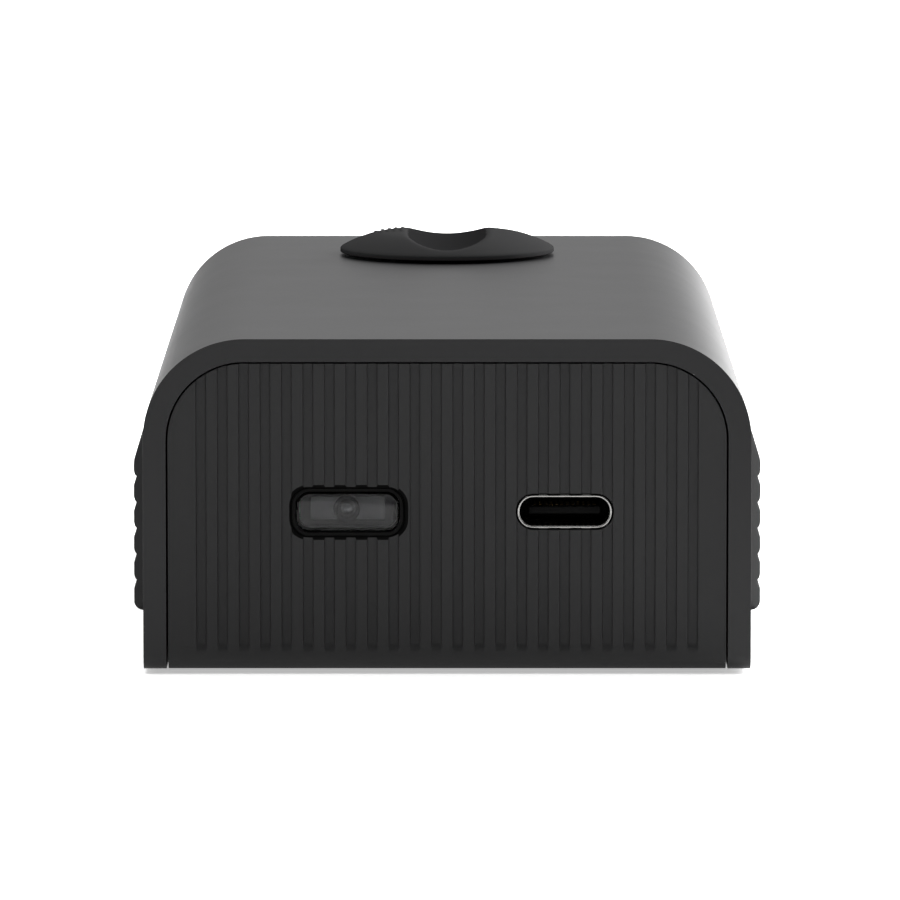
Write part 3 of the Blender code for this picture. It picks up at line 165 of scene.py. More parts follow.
def surface_group():
    """Moulded plastic or rubber: slow mottling of the colour and a fine grain for the height."""
    group = bpy.data.node_groups.new("moulded_surface", "ShaderNodeTree")
    face = group.interface
    colour = face.new_socket("Colour", in_out="INPUT", socket_type="NodeSocketColor")
    colour.default_value = (0.03, 0.03, 0.03, 1.0)
    numbers = (("Mottle", 0.1), ("Mottle Scale", 120.0), ("Grain Scale", 4000.0))
    for name, value in numbers + (("Roughness", 0.5), ("Spread", 0.1)):
        face.new_socket(name, in_out="INPUT", socket_type="NodeSocketFloat").default_value = value
    face.new_socket("Colour", in_out="OUTPUT", socket_type="NodeSocketColor")
    face.new_socket("Roughness", in_out="OUTPUT", socket_type="NodeSocketFloat")
    face.new_socket("Height", in_out="OUTPUT", socket_type="NodeSocketFloat")
    nodes, links = group.nodes, group.links
    start = nodes.new("NodeGroupInput")
    end = nodes.new("NodeGroupOutput")
    where = nodes.new("ShaderNodeTexCoord")
    swings = []
    for scale, detail in (("Mottle Scale", 3.0), ("Grain Scale", 2.0)):
        noise = nodes.new("ShaderNodeTexNoise")
        noise.inputs["Detail"].default_value = detail
        links.new(where.outputs["Object"], noise.inputs["Vector"])
        links.new(start.outputs[scale], noise.inputs["Scale"])
        swing = nodes.new("ShaderNodeMath")
        swing.operation = "SUBTRACT"
        swing.inputs[1].default_value = 0.5
        links.new(noise.outputs["Fac"], swing.inputs[0])
        swings.append(swing)
    links.new(noise.outputs["Fac"], end.inputs["Height"])
    shade = nodes.new("ShaderNodeMath")
    shade.operation = "MULTIPLY_ADD"
    shade.inputs[2].default_value = 1.0
    links.new(swings[0].outputs[0], shade.inputs[0])
    links.new(start.outputs["Mottle"], shade.inputs[1])
    tint = nodes.new("ShaderNodeVectorMath")
    tint.operation = "SCALE"
    links.new(start.outputs["Colour"], tint.inputs[0])
    links.new(shade.outputs[0], tint.inputs["Scale"])
    links.new(tint.outputs[0], end.inputs["Colour"])
    both = nodes.new("ShaderNodeMath")
    both.operation = "ADD"
    links.new(swings[0].outputs[0], both.inputs[0])
    links.new(swings[1].outputs[0], both.inputs[1])
    rough = nodes.new("ShaderNodeMath")
    rough.operation = "MULTIPLY_ADD"
    links.new(both.outputs[0], rough.inputs[0])
    links.new(start.outputs["Spread"], rough.inputs[1])
    links.new(start.outputs["Roughness"], rough.inputs[2])
    links.new(rough.outputs[0], end.inputs["Roughness"])
    return group


SURFACE = surface_group()


def moulded(
    name,
    colour,
    roughness,
    grain=(0.12, 0.004),
    mottle=0.12,
    specular=0.5,
    metallic=0.0,
    spread=0.12,
):
    """A moulded or pressed finish. The grain is its size and its depth, both in millimetres."""
    made = bpy.data.materials.new(name)
    made.use_nodes = True
    nodes, links = made.node_tree.nodes, made.node_tree.links
    shader = nodes["Principled BSDF"]
    shader.inputs["Specular IOR Level"].default_value = specular
    shader.inputs["Metallic"].default_value = metallic
    surface = nodes.new("ShaderNodeGroup")
    surface.name = "surface"
    surface.node_tree = SURFACE
    surface.inputs["Colour"].default_value = (*colour, 1.0)
    surface.inputs["Mottle"].default_value = mottle
    surface.inputs["Grain Scale"].default_value = 1.0 / (grain[0] * MM)
    surface.inputs["Roughness"].default_value = roughness
    surface.inputs["Spread"].default_value = spread
    bump = nodes.new("ShaderNodeBump")
    bump.name = "bump"
    bump.inputs["Distance"].default_value = grain[1] * MM
    links.new(surface.outputs["Colour"], shader.inputs["Base Color"])
    links.new(surface.outputs["Roughness"], shader.inputs["Roughness"])
    links.new(surface.outputs["Height"], bump.inputs["Height"])
    links.new(bump.outputs["Normal"], shader.inputs["Normal"])
    return made


def dress(node, material):
    """Gives a plain node that stays as it is its finish."""
    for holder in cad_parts[node].material_slots:
        holder.material = material


def smooth(piece, angle=30.0):
    piece.data.shade_smooth()
    piece.data.set_sharp_from_angle(angle=math.radians(angle))


def round_edges(piece, width, segments, angle=40.0):
    bevel = piece.modifiers.new("rounded_edges", "BEVEL")
    bevel.width = width
    bevel.segments = segments
    bevel.limit_method = "ANGLE"
    bevel.angle_limit = math.radians(angle)
    bevel.harden_normals = True


def stand_for(piece, body, slot, *nodes):
    """Puts a piece on its body, in place of its plain nodes. The slot it is given is not used."""
    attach(piece, body)
    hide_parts(*nodes)


def rounded_copy(node, material, slot, width, segments=2, body=HOUSING):
    """A copy of a plain node with its triangles merged into faces and its edges rounded."""
    bm = bmesh.new()
    bm.from_mesh(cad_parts[node].data)
    bmesh.ops.remove_doubles(bm, verts=bm.verts, dist=0.001 * MM)
    bmesh.ops.dissolve_limit(bm, angle_limit=math.radians(0.5), verts=bm.verts, edges=bm.edges)
    piece = piece_from(bm, f"{node}_rounded", material)
    round_edges(piece, width, segments)
    smooth(piece)
    stand_for(piece, body, slot, node)


base_black = moulded("base_plate_black", (0.022, 0.022, 0.023), 0.55, (0.2, 0.008), 0.12)
foot_black = moulded("foot_rubber_black", (0.018, 0.018, 0.018), 0.85, (0.25, 0.012), 0.2, 0.3)
black_steel = moulded("blackened_steel", (0.045, 0.045, 0.05), 0.38, (0.3, 0.002), 0.3, 0.5, 1.0)
rounded_copy("base_plate", base_black, "base_plastic", 0.15 * MM)
for corner in CORNERS:
    rounded_copy(f"foot_{corner}", foot_black, "foot_rubber", 0.3 * MM, 3)
    rounded_copy(f"base_screw_{corner}", black_steel, "black_screw_steel", 0.08 * MM)

# ---------------------------------------------------------------------------------------------
# Chassis frame
# One glass-filled nylon moulding that carries the boards and the battery. It stands on the base
# plate, and its ribs hold the end panels and the sensor board upright.
# ---------------------------------------------------------------------------------------------

frame_nylon = moulded("frame_nylon", (0.04, 0.04, 0.042), 0.6, (0.5, 0.01), 0.35)
dress("chassis_frame", frame_nylon)

# ---------------------------------------------------------------------------------------------
# Battery
# A soft pouch cell in wrinkled aluminium foil, taped to the frame with a foam pad. Its red lead
# ends in a small white plug on the main board.
# ---------------------------------------------------------------------------------------------

pouch_foil = moulded("pouch_foil", (0.62, 0.63, 0.65), 0.32, (3.0, 0.12), 0.1, 0.5, 1.0)
foam_grey = moulded("foam_tape_grey", (0.14, 0.14, 0.15), 0.95, (0.35, 0.15), 0.4, 0.1)
lead_red = moulded("lead_sleeve_red", (0.45, 0.02, 0.015), 0.42, (0.8, 0.01), 0.15)
cream_nylon = moulded("socket_cream", (0.72, 0.66, 0.52), 0.45, (0.4, 0.006), 0.08)
dress("battery_cell", pouch_foil)
dress("battery_pad", foam_grey)
dress("battery_lead", lead_red)
for node in ("battery_socket", "battery_plug"):
    dress(node, cream_nylon)

# ---------------------------------------------------------------------------------------------
# Main board and its parts
# A green circuit board on four screws. Two shielded modules, a memory chip and a charging coil
# are soldered to it.
# ---------------------------------------------------------------------------------------------


def board_group():
    """Solder mask over copper: a mask of fine square tracks with plated holes, and their height."""
    group = bpy.data.node_groups.new("board_tracks", "ShaderNodeTree")
    face = group.interface
    face.new_socket("Pitch", in_out="INPUT", socket_type="NodeSocketFloat").default_value = 400.0
    face.new_socket("Tracks", in_out="OUTPUT", socket_type="NodeSocketFloat")
    face.new_socket("Holes", in_out="OUTPUT", socket_type="NodeSocketFloat")
    nodes, links = group.nodes, group.links
    start = nodes.new("NodeGroupInput")
    end = nodes.new("NodeGroupOutput")
    where = nodes.new("ShaderNodeTexCoord")
    lattice = nodes.new("ShaderNodeTexVoronoi")
    lattice.distance = "CHEBYCHEV"
    lattice.feature = "F1"
    lattice.inputs["Randomness"].default_value = 0.8
    links.new(where.outputs["Object"], lattice.inputs["Vector"])
    links.new(start.outputs["Pitch"], lattice.inputs["Scale"])
    wave = nodes.new("ShaderNodeMath")
    wave.operation = "PINGPONG"
    wave.inputs[1].default_value = 0.09
    links.new(lattice.outputs["Distance"], wave.inputs[0])
    edge = nodes.new("ShaderNodeMapRange")
    edge.inputs["From Min"].default_value = 0.05
    edge.inputs["From Max"].default_value = 0.06
    links.new(wave.outputs[0], edge.inputs["Value"])
    links.new(edge.outputs["Result"], end.inputs["Tracks"])
    hole = nodes.new("ShaderNodeMapRange")
    hole.inputs["From Min"].default_value = 0.1
    hole.inputs["From Max"].default_value = 0.08
    links.new(lattice.outputs["Distance"], hole.inputs["Value"])
    links.new(hole.outputs["Result"], end.inputs["Holes"])
    return group


BOARD = board_group()


def circuit_board(name, mask, copper):
    """Solder mask, lighter where a track lies under it, with bare plated holes."""
    made = moulded(name, mask, 0.3, (0.6, 0.004), 0.08)
    nodes, links = made.node_tree.nodes, made.node_tree.links
    shader = nodes["Principled BSDF"]
    surface, bump = nodes["surface"], nodes["bump"]
    tracks = nodes.new("ShaderNodeGroup")
    tracks.node_tree = BOARD
    raised = nodes.new("ShaderNodeMix")
    raised.data_type = "RGBA"
    raised.inputs["B"].default_value = (*[min(1.0, 2.2 * value) for value in mask], 1.0)
    links.new(tracks.outputs["Tracks"], raised.inputs["Factor"])
    links.new(surface.outputs["Colour"], raised.inputs["A"])
    plated = nodes.new("ShaderNodeMix")
    plated.data_type = "RGBA"
    plated.inputs["B"].default_value = (*copper, 1.0)
    links.new(tracks.outputs["Holes"], plated.inputs["Factor"])
    links.new(raised.outputs["Result"], plated.inputs["A"])
    links.new(plated.outputs["Result"], shader.inputs["Base Color"])
    links.new(tracks.outputs["Holes"], shader.inputs["Metallic"])
    links.new(tracks.outputs["Tracks"], bump.inputs["Height"])
    bump.inputs["Distance"].default_value = 0.03 * MM
    return made


board_green = circuit_board("board_green", (0.008, 0.07, 0.03), (0.72, 0.52, 0.2))
chip_black = moulded("chip_black", (0.02, 0.02, 0.021), 0.55, (0.15, 0.006), 0.2)
tinplate = moulded("tinplate", (0.58, 0.58, 0.57), 0.34, (1.2, 0.01), 0.15, 0.5, 1.0)
stainless = moulded("stainless_steel", (0.26, 0.257, 0.25), 0.22, (0.2, 0.002), 0.08, 0.5, 1.0)
dress("main_board", board_green)
for corner in CORNERS:
    dress(f"board_screw_{corner}", black_steel)
for node in ("processor_shield", "wireless_module", "radar_shield"):
    rounded_copy(node, tinplate, "tinplate", 0.2 * MM)
for node in ("memory_chip", "charge_coil"):
    dress(node, chip_black)

# ---------------------------------------------------------------------------------------------
# USB-C socket
# A drawn stainless tube with a rolled mouth, soldered to the front edge of the main board. Inside
# it a black tongue carries twelve gold contacts on each face.
# ---------------------------------------------------------------------------------------------


def swept(points, levels, place, closed=False):
    """A tube or bar grown by extrusion from level to level. The place of each point of its section
    comes from a function of the level and the point's number. Its ends are capped or joined."""
    bm = bmesh.new()
    number = bm.verts.layers.int.new("number")
    ring = bmesh.ops.create_circle(bm, cap_ends=False, segments=points, radius=1.0)["verts"]
    for i, vert in enumerate(ring):
        vert[number] = i
        vert.co = place(levels[0], i)
    first = last = bm.edges[:]
    for level in levels[1:] + (levels[:1] if closed else []):
        grown = bmesh.ops.extrude_edge_only(bm, edges=last)["geom"]
        ring = {item for item in grown if isinstance(item, bmesh.types.BMVert)}
        for vert in ring:
            vert.co = place(level, vert[number])
        last = [e for e in bm.edges if e.verts[0] in ring and e.verts[1] in ring]
    if closed:
        bmesh.ops.remove_doubles(bm, verts=bm.verts, dist=0.0001 * MM)
    else:
        bmesh.ops.holes_fill(bm, edges=first + last, sides=0)
    return bm


def ringed(size, radius, middle, levels, name, *materials, closed=False, steps=12):
    """A shape along Y whose section is a rounded rectangle, grown by a set amount at each level.
    The levels are (depth, growth) pairs. A closed shape joins its last level to its first."""
    corners = ((1, 1, 0), (-1, 1, 90), (-1, -1, 180), (1, -1, 270))

    def place(level, i):
        across, up, turn = corners[i // (steps + 1)]
        angle = math.radians(turn + 90 * (i % (steps + 1)) / steps)
        reach = radius + level[1]
        x = middle[0] + across * (size[0] / 2 - radius) + reach * math.cos(angle)
        z = middle[1] + up * (size[1] / 2 - radius) + reach * math.sin(angle)
        return (x, level[0], z)

    return piece_from(swept(4 * (steps + 1), levels, place, closed), name, *materials)


def rolled(front, back, wall, steps=12):
    """Levels for a tube wall with a rounded mouth, from outside at the back to inside."""
    radius = wall / 2
    levels = [(back, 0.0)]
    for i in range(steps + 1):
        angle = math.pi * i / steps
        levels.append((front + radius * (1 - math.sin(angle)), radius * (math.cos(angle) - 1)))
    levels.append((back, -wall))
    return levels


usb_low, usb_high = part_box("usb_shell")
usb_middle = ((usb_low.x + usb_high.x) / 2, (usb_low.z + usb_high.z) / 2)
usb_size = (usb_high.x - usb_low.x, usb_high.z - usb_low.z)
usb_corner = 1.55 * MM
usb_wall = 0.26 * MM
usb_tube = ringed(
    usb_size,
    usb_corner,
    usb_middle,
    rolled(usb_low.y, usb_high.y, usb_wall),
    "usb_tube",
    stainless,
    closed=True,
)
smooth(usb_tube, 45)
stand_for(usb_tube, HOUSING, "stainless", "usb_shell")

tongue_low, tongue_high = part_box("usb_tongue")
tongue_black = moulded("tongue_black", (0.003, 0.003, 0.003), 0.7, (0.3, 0.001), 0.1, 0.05)
contact_gold = moulded("contact_gold", (0.25, 0.16, 0.06), 0.35, (0.1, 0.001), 0.1, 0.5, 1.0)


def add_block(bm, low, high, material_index=0):
    made = bmesh.ops.create_cube(bm, size=1.0)["verts"]
    bmesh.ops.scale(bm, vec=Vector(high) - Vector(low), verts=made)
    bmesh.ops.translate(bm, vec=(Vector(low) + Vector(high)) / 2, verts=made)
    for face in {face for vert in made for face in vert.link_faces}:
        face.material_index = material_index


tongue_half = (3.345 * MM, 0.35 * MM)
root_half = (4.0 * MM, 1.15 * MM)
root_depth = 1.3 * MM
contact_pitch = 0.5 * MM
contact_half = (0.13 * MM, 0.03 * MM)
contact_start = tongue_low.y + 1.1 * MM
contact_end = tongue_low.y + 3.9 * MM
tongue_bm = bmesh.new()
add_block(
    tongue_bm,
    (usb_middle[0] - tongue_half[0], tongue_low.y, usb_middle[1] - tongue_half[1]),
    (usb_middle[0] + tongue_half[0], tongue_high.y, usb_middle[1] + tongue_half[1]),
)
bmesh.ops.bevel(
    tongue_bm,
    geom=tongue_bm.edges[:],
    offset=0.12 * MM,
    segments=3,
    profile=0.5,
    affect="EDGES",
    material=-1,
)
add_block(
    tongue_bm,
    (usb_middle[0] - root_half[0], tongue_high.y - root_depth, usb_middle[1] - root_half[1]),
    (usb_middle[0] + root_half[0], tongue_high.y, usb_middle[1] + root_half[1]),
)
for i in range(12):
    contact_x = usb_middle[0] + (i - 5.5) * contact_pitch
    for face_sign in (-1, 1):
        face_z = usb_middle[1] + face_sign * tongue_half[1]
        add_block(
            tongue_bm,
            (contact_x - contact_half[0], contact_start, face_z - contact_half[1]),
            (contact_x + contact_half[0], contact_end, face_z + contact_half[1]),
            1,
        )
tongue = piece_from(tongue_bm, "usb_tongue_with_contacts", tongue_black, contact_gold)
smooth(tongue)
stand_for(tongue, HOUSING, "chip_black", "usb_tongue")

# ---------------------------------------------------------------------------------------------
# Sensor and its lens
# Behind the window a small upright board carries a black sensor block with a grey plate on its
# face. A round holder in the middle of the plate has a tiny domed glass lens.
# ---------------------------------------------------------------------------------------------


def turned(profile, middle, along, steps, name, *materials):
    """A solid turned about an axis, from (radius, distance) points that start and end on it."""
    along = Vector(along)
    across = Vector((1, 0, 0))
    bm = bmesh.new()
    verts = [bm.verts.new(Vector(middle) + across * r + along * d) for r, d in profile]
    edges = [bm.edges.new(pair) for pair in zip(verts, verts[1:])]
    bmesh.ops.spin(
        bm,
        geom=verts + edges,
        cent=middle,
        axis=along,
        angle=2 * math.pi,
        steps=steps,
        use_merge=True,
    )
    bmesh.ops.remove_doubles(bm, verts=bm.verts, dist=0.0005 * MM)
    return piece_from(bm, name, *materials)


sensor_black = moulded("sensor_housing_black", (0.034, 0.034, 0.035), 0.7, (0.2, 0.0004), 0.05, 0.1)
plate_grey = moulded("sensor_plate_grey", (0.13, 0.13, 0.132), 0.7, (0.3, 0.0004), 0.05, 0.1)
holder_black = moulded("lens_holder_black", (0.008, 0.008, 0.0083), 0.5, (0.15, 0.0004), 0.05, 0.2)
dress("sensor_board", board_green)
rounded_copy("sensor_housing", sensor_black, "sensor_plastic", 0.2 * MM, 3)
rounded_copy("sensor_plate", plate_grey, "sensor_plate_grey", 0.05 * MM)

holder_low, holder_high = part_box("lens_holder")
lens_low, lens_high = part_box("lens")
lens_middle = ((lens_low.x + lens_high.x) / 2, holder_low.y, (lens_low.z + lens_high.z) / 2)
holder_radius = (holder_high.x - holder_low.x) / 2
holder_depth = holder_high.y - holder_low.y
lens_radius = (lens_high.x - lens_low.x) / 2
lens_seat = 0.25 * MM
lens_edge = 0.04 * MM
holder_profile = [
    (0.0, lens_seat),
    (lens_radius + 0.02 * MM, lens_seat),
    (lens_radius + 0.02 * MM, lens_edge),
    (lens_radius + 0.06 * MM, 0.0),
    (0.72 * MM, 0.0),
    (0.78 * MM, 0.08 * MM),
    (0.92 * MM, 0.1 * MM),
    (0.98 * MM, 0.02 * MM),
    (holder_radius - 0.06 * MM, 0.02 * MM),
    (holder_radius, 0.08 * MM),
    (holder_radius, holder_depth),
    (0.0, holder_depth),
]
holder = turned(holder_profile, lens_middle, (0, 1, 0), 64, "lens_holder_turned", holder_black)
smooth(holder)
stand_for(holder, HOUSING, "lens_holder_black", "lens_holder")


def clear_glass(name, colour, ior):
    """Polished clear glass or acrylic, a little uneven in tint, that lamps shine through."""
    made = moulded(name, colour, 0.0, mottle=0.04)
    shader = made.node_tree.nodes["Principled BSDF"]
    shader.inputs["Transmission Weight"].default_value = 1.0
    shader.inputs["IOR"].default_value = ior
    nodes, links = made.node_tree.nodes, made.node_tree.links
    nodes.remove(nodes["bump"])
    links.remove(shader.inputs["Roughness"].links[0])
    shader.inputs["Roughness"].default_value = 0.0
    clear = nodes.new("ShaderNodeBsdfTransparent")
    clear.inputs["Color"].default_value = (*colour, 1.0)
    path = nodes.new("ShaderNodeLightPath")
    either = nodes.new("ShaderNodeMixShader")
    links.new(path.outputs["Is Shadow Ray"], either.inputs["Fac"])
    links.new(shader.outputs["BSDF"], either.inputs[1])
    links.new(clear.outputs["BSDF"], either.inputs[2])
    links.new(either.outputs["Shader"], nodes["Material Output"].inputs["Surface"])
    return made


lens_glass = clear_glass("lens_glass", (0.55, 0.58, 0.6), 1.52)
lens_back = 0.2 * MM
dome_rise = holder_low.y + lens_edge - lens_low.y
dome_profile = [(0.0, lens_low.y - lens_middle[1])]
for i in range(1, 9):
    angle = math.radians(90 * i / 8)
    dome_profile.append((lens_radius * math.sin(angle), lens_edge - dome_rise * math.cos(angle)))
dome_profile += [(lens_radius, lens_back), (0.0, lens_back)]
lens = turned(dome_profile, lens_middle, (0, 1, 0), 48, "lens_dome", lens_glass)
smooth(lens, 40)
stand_for(lens, HOUSING, "lens_glass", "lens")

# ---------------------------------------------------------------------------------------------
# Radar module and flat cables
# An upright board behind the rear panel has copper patches on its outer face and a tin can on its
# inner face. Amber flat cables join the sensor, radar and switch boards to the main board.
# ---------------------------------------------------------------------------------------------

antenna_copper = moulded("antenna_copper", (0.78, 0.42, 0.26), 0.3, (0.4, 0.003), 0.15, 0.5, 1.0)
dress("radar_board", board_green)
dress("radar_antenna", antenna_copper)

cable_amber = moulded("flat_cable_amber", (0.42, 0.16, 0.03), 0.3, (0.5, 0.003), 0.06)
cable_nodes, cable_links = cable_amber.node_tree.nodes, cable_amber.node_tree.links
cable_place = cable_nodes.new("ShaderNodeTexCoord")
cable_axis = cable_nodes.new("ShaderNodeSeparateXYZ")
cable_links.new(cable_place.outputs["Object"], cable_axis.inputs["Vector"])
cable_wave = cable_nodes.new("ShaderNodeMath")
cable_wave.operation = "PINGPONG"
cable_wave.inputs[1].default_value = 0.25 * MM
cable_links.new(cable_axis.outputs["X"], cable_wave.inputs[0])
cable_line = cable_nodes.new("ShaderNodeMapRange")
cable_line.inputs["From Min"].default_value = 0.1 * MM
cable_line.inputs["From Max"].default_value = 0.12 * MM
cable_links.new(cable_wave.outputs[0], cable_line.inputs["Value"])
cable_mix = cable_nodes.new("ShaderNodeMix")
cable_mix.data_type = "RGBA"
cable_mix.inputs["B"].default_value = (0.62, 0.3, 0.12, 1.0)
cable_links.new(cable_line.outputs["Result"], cable_mix.inputs["Factor"])
cable_links.new(cable_nodes["surface"].outputs["Colour"], cable_mix.inputs["A"])
cable_links.new(cable_mix.outputs["Result"], cable_nodes["Principled BSDF"].inputs["Base Color"])
for which in ("sensor", "radar", "switch"):
    dress(f"{which}_cable", cable_amber)
    dress(f"{which}_cable_socket", cream_nylon)

# ---------------------------------------------------------------------------------------------
# End panels
# Two inset plates of matt black plastic with shallow upright flutes that die out above the foot,
# where the lower edge is rolled back. The front one has the window opening and the USB slot.
# ---------------------------------------------------------------------------------------------

panel_low, panel_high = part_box("front_panel")
shell_half = shell_high.x
shell_radius = 9.5 * MM
shell_wall = 2.15 * MM
seam = 0.18 * MM
opening_half = shell_half - shell_wall
opening_top = shell_high.z - shell_wall
panel_half = opening_half - seam
flute_count = 24
flute_pitch = 2.0 * MM
flute_half = 0.46 * MM
flute_edge = 0.05 * MM
flute_depth = 0.2 * MM
flute_start = 1.7 * MM
flute_fade = 0.9 * MM
foot_roll = 1.4 * MM
panel_black = moulded("fluted_panel_black", (0.0112, 0.0112, 0.0115), 0.55, (0.1, 0.003), 0.1, 0.22)
window_ink = moulded("window_surround_ink", (0.0015, 0.0015, 0.0015), 0.6, (0.1, 0.002), 0.1, 0.03)


def ease(share):
    share = min(1.0, max(0.0, share))
    return share * share * (3 - 2 * share)


def flute_columns(half):
    """Where the face is divided across its width: close together over each flute's two edges."""
    columns = [-half, half]
    for i in range(flute_count):
        middle = (i - (flute_count - 1) / 2) * flute_pitch
        columns += [middle, middle + flute_pitch / 2]
        for side in (-1, 1):
            for step in range(-2, 3):
                columns.append(middle + side * (flute_half + step * flute_edge / 2))
    return sorted(x for x in columns if -half <= x <= half)


def face_depth(x, height):
    """How far the face lies behind its lands, at a place across it and a height above its foot."""
    beside = abs((x / flute_pitch + flute_count / 2) % 1.0 - 0.5) * flute_pitch
    groove = ease((flute_half + flute_edge - beside) / (2 * flute_edge))
    if abs(x) > flute_count / 2 * flute_pitch:
        groove = 0.0
    depth = flute_depth * groove * ease((height - flute_start) / flute_fade)
    if height < foot_roll:
        depth += foot_roll - math.sqrt(foot_roll**2 - (foot_roll - height) ** 2)
    return depth


def settle(piece):
    """Applies the modifiers that a piece has so far."""
    bpy.context.view_layer.update()
    graph = bpy.context.evaluated_depsgraph_get()
    mesh = bpy.data.meshes.new_from_object(piece.evaluated_get(graph))
    piece.modifiers.clear()
    piece.data = mesh


def shape_with(piece, tools, operation):
    """Cuts, joins or trims a piece with other closed shapes, which are then gone."""
    for tool in tools:
        change = piece.modifiers.new("shape", "BOOLEAN")
        change.operation = operation
        change.solver = "EXACT"
        change.material_mode = "TRANSFER"
        change.object = tool
    settle(piece)
    for tool in tools:
        bpy.data.objects.remove(tool, do_unlink=True)


def arch_sheet(half, bottom, top, radius, front, back, steps=24):
    """An open sheet bent over two round corners, from one foot over the top to the other."""
    bm = bmesh.new()
    last = bmesh.ops.create_vert(bm, co=(-half, front, bottom))["vert"][0]

    def run_to(place):
        grown = bmesh.ops.extrude_vert_indiv(bm, verts=[last])["verts"][0]
        grown.co = place
        return grown

    def turn(centre):
        made = bmesh.ops.spin(
            bm, geom=[last], cent=centre, axis=(0, 1, 0), angle=math.pi / 2, steps=steps
        )
        return [item for item in made["geom_last"] if isinstance(item, bmesh.types.BMVert)][0]

    last = run_to((-half, front, top - radius))
    last = turn((radius - half, front, top - radius))
    last = run_to((half - radius, front, top))
    last = turn((half - radius, front, top - radius))
    last = run_to((half, front, bottom))
    bmesh.ops.remove_doubles(bm, verts=bm.verts, dist=0.001 * MM)
    grown = bmesh.ops.extrude_edge_only(bm, edges=bm.edges[:])["geom"]
    moved = [item for item in grown if isinstance(item, bmesh.types.BMVert)]
    bmesh.ops.translate(bm, vec=(0, back - front, 0), verts=moved)
    return bm


def fluted_panel(name, turned_round=False):
    """A closed slab with the fluted face, trimmed to the arch."""
    low, top = panel_low.z, opening_top - seam
    face, back = panel_low.y, panel_high.y
    rows = [foot_roll * (1 - math.cos(math.radians(a))) for a in range(0, 91, 10)]
    rows += [flute_start + flute_fade * i / 8 for i in range(9)]
    rows += [8 * MM, 16 * MM, top - low + MM]
    columns = flute_columns(panel_half + MM)
    bm = bmesh.new()
    bmesh.ops.create_grid(bm, x_segments=len(columns) - 1, y_segments=len(rows) - 1, size=0.5)
    for vert in bm.verts:
        x = columns[round((vert.co.x + 0.5) * (len(columns) - 1))]
        height = rows[round((vert.co.y + 0.5) * (len(rows) - 1))]
        vert.co = (x, face + face_depth(x, height), low + height)
    grown = bmesh.ops.extrude_face_region(bm, geom=bm.faces[:])["geom"]
    for item in grown:
        if isinstance(item, bmesh.types.BMVert):
            item.co.y = back
    panel = piece_from(bm, name, panel_black)
    radius = shell_radius - shell_wall - seam
    trim_bm = arch_sheet(panel_half, low, top, radius, face - MM, back + MM)
    bmesh.ops.holes_fill(trim_bm, edges=[e for e in trim_bm.edges if e.is_boundary], sides=0)
    shape_with(panel, [piece_from(trim_bm, "trim_tool", None)], "INTERSECT")
    if turned_round:
        for vert in panel.data.vertices:
            vert.co = (-vert.co.x, -vert.co.y, vert.co.z)
    return panel


front_face, front_back = panel_low.y, panel_high.y
front_panel = fluted_panel("front_panel_fluted")
bezel_low, bezel_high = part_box("window_bezel")
window_middle = ((bezel_low.x + bezel_high.x) / 2, (bezel_low.z + bezel_high.z) / 2)
window_size = (10.94 * MM, 4.77 * MM)
window_radius = 1.75 * MM
flare = 0.2 * MM
flute_floor = front_face + flute_depth
window_cut = ringed(
    window_size,
    window_radius,
    window_middle,
    [
        (flute_floor - 3 * flare, 3 * flare),
        (flute_floor + flare, -flare),
        (front_back + MM, -flare),
    ],
    "window_tool",
    window_ink,
)
slot_gap = 0.12 * MM
slot_cut = ringed(
    usb_size,
    usb_corner,
    usb_middle,
    [(front_face - MM, slot_gap), (front_back + MM, slot_gap)],
    "slot_tool",
    panel_black,
)
shape_with(front_panel, [window_cut, slot_cut], "DIFFERENCE")
smooth(front_panel, 32)
stand_for(front_panel, HOUSING, "fluted_panel", "front_panel")

rear_panel = fluted_panel("rear_panel_fluted", turned_round=True)
smooth(rear_panel, 32)
stand_for(rear_panel, HOUSING, "fluted_panel", "rear_panel")

# ---------------------------------------------------------------------------------------------
# Window
# A smoked acrylic pane in a black moulded surround. The surround is pressed in from behind and
# the pane is glued into its step.
# ---------------------------------------------------------------------------------------------

bezel_black = moulded("bezel_black", (0.0018, 0.0018, 0.0018), 0.5, (0.1, 0.002), 0.1, 0.05)
glass_low, glass_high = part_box("window_glass")
pane_size = (9.73 * MM, 3.78 * MM)
pane_radius = 1.3 * MM
ring_outer = (window_size[0] - pane_size[0]) / 2 - flare - 0.02 * MM
bezel_front = front_face + 0.22 * MM
bezel = ringed(
    pane_size,
    pane_radius,
    window_middle,
    [
        (bezel_high.y, ring_outer),
        (bezel_front + 0.08 * MM, ring_outer),
        (bezel_front, ring_outer - 0.08 * MM),
        (bezel_front, 0.12 * MM),
        (bezel_front + 0.06 * MM, 0.04 * MM),
        (bezel_front + 0.2 * MM, 0.03 * MM),
        (glass_high.y, 0.03 * MM),
        (glass_high.y, -0.35 * MM),
        (bezel_high.y, -0.35 * MM),
    ],
    "window_surround",
    bezel_black,
    closed=True,
)
smooth(bezel)
stand_for(bezel, HOUSING, "bezel_plastic", "window_bezel")

smoked_acrylic = clear_glass("smoked_acrylic", (0.68, 0.68, 0.69), 1.25)
pane = ringed(
    pane_size,
    pane_radius,
    window_middle,
    [
        (glass_low.y, -0.16 * MM),
        (glass_low.y + 0.03 * MM, -0.07 * MM),
        (glass_low.y + 0.1 * MM, 0.0),
        (glass_high.y - 0.05 * MM, 0.0),
        (glass_high.y, -0.05 * MM),
    ],
    "window_pane",
    smoked_acrylic,
)
smooth(pane)
stand_for(pane, HOUSING, "window_glass", "window_glass")

# ---------------------------------------------------------------------------------------------
# Outer shell
# One moulded arch of satin black plastic that covers the top and both sides. It slides over the
# chassis and is held by four screws that come up through the base plate into its bosses.
# ---------------------------------------------------------------------------------------------


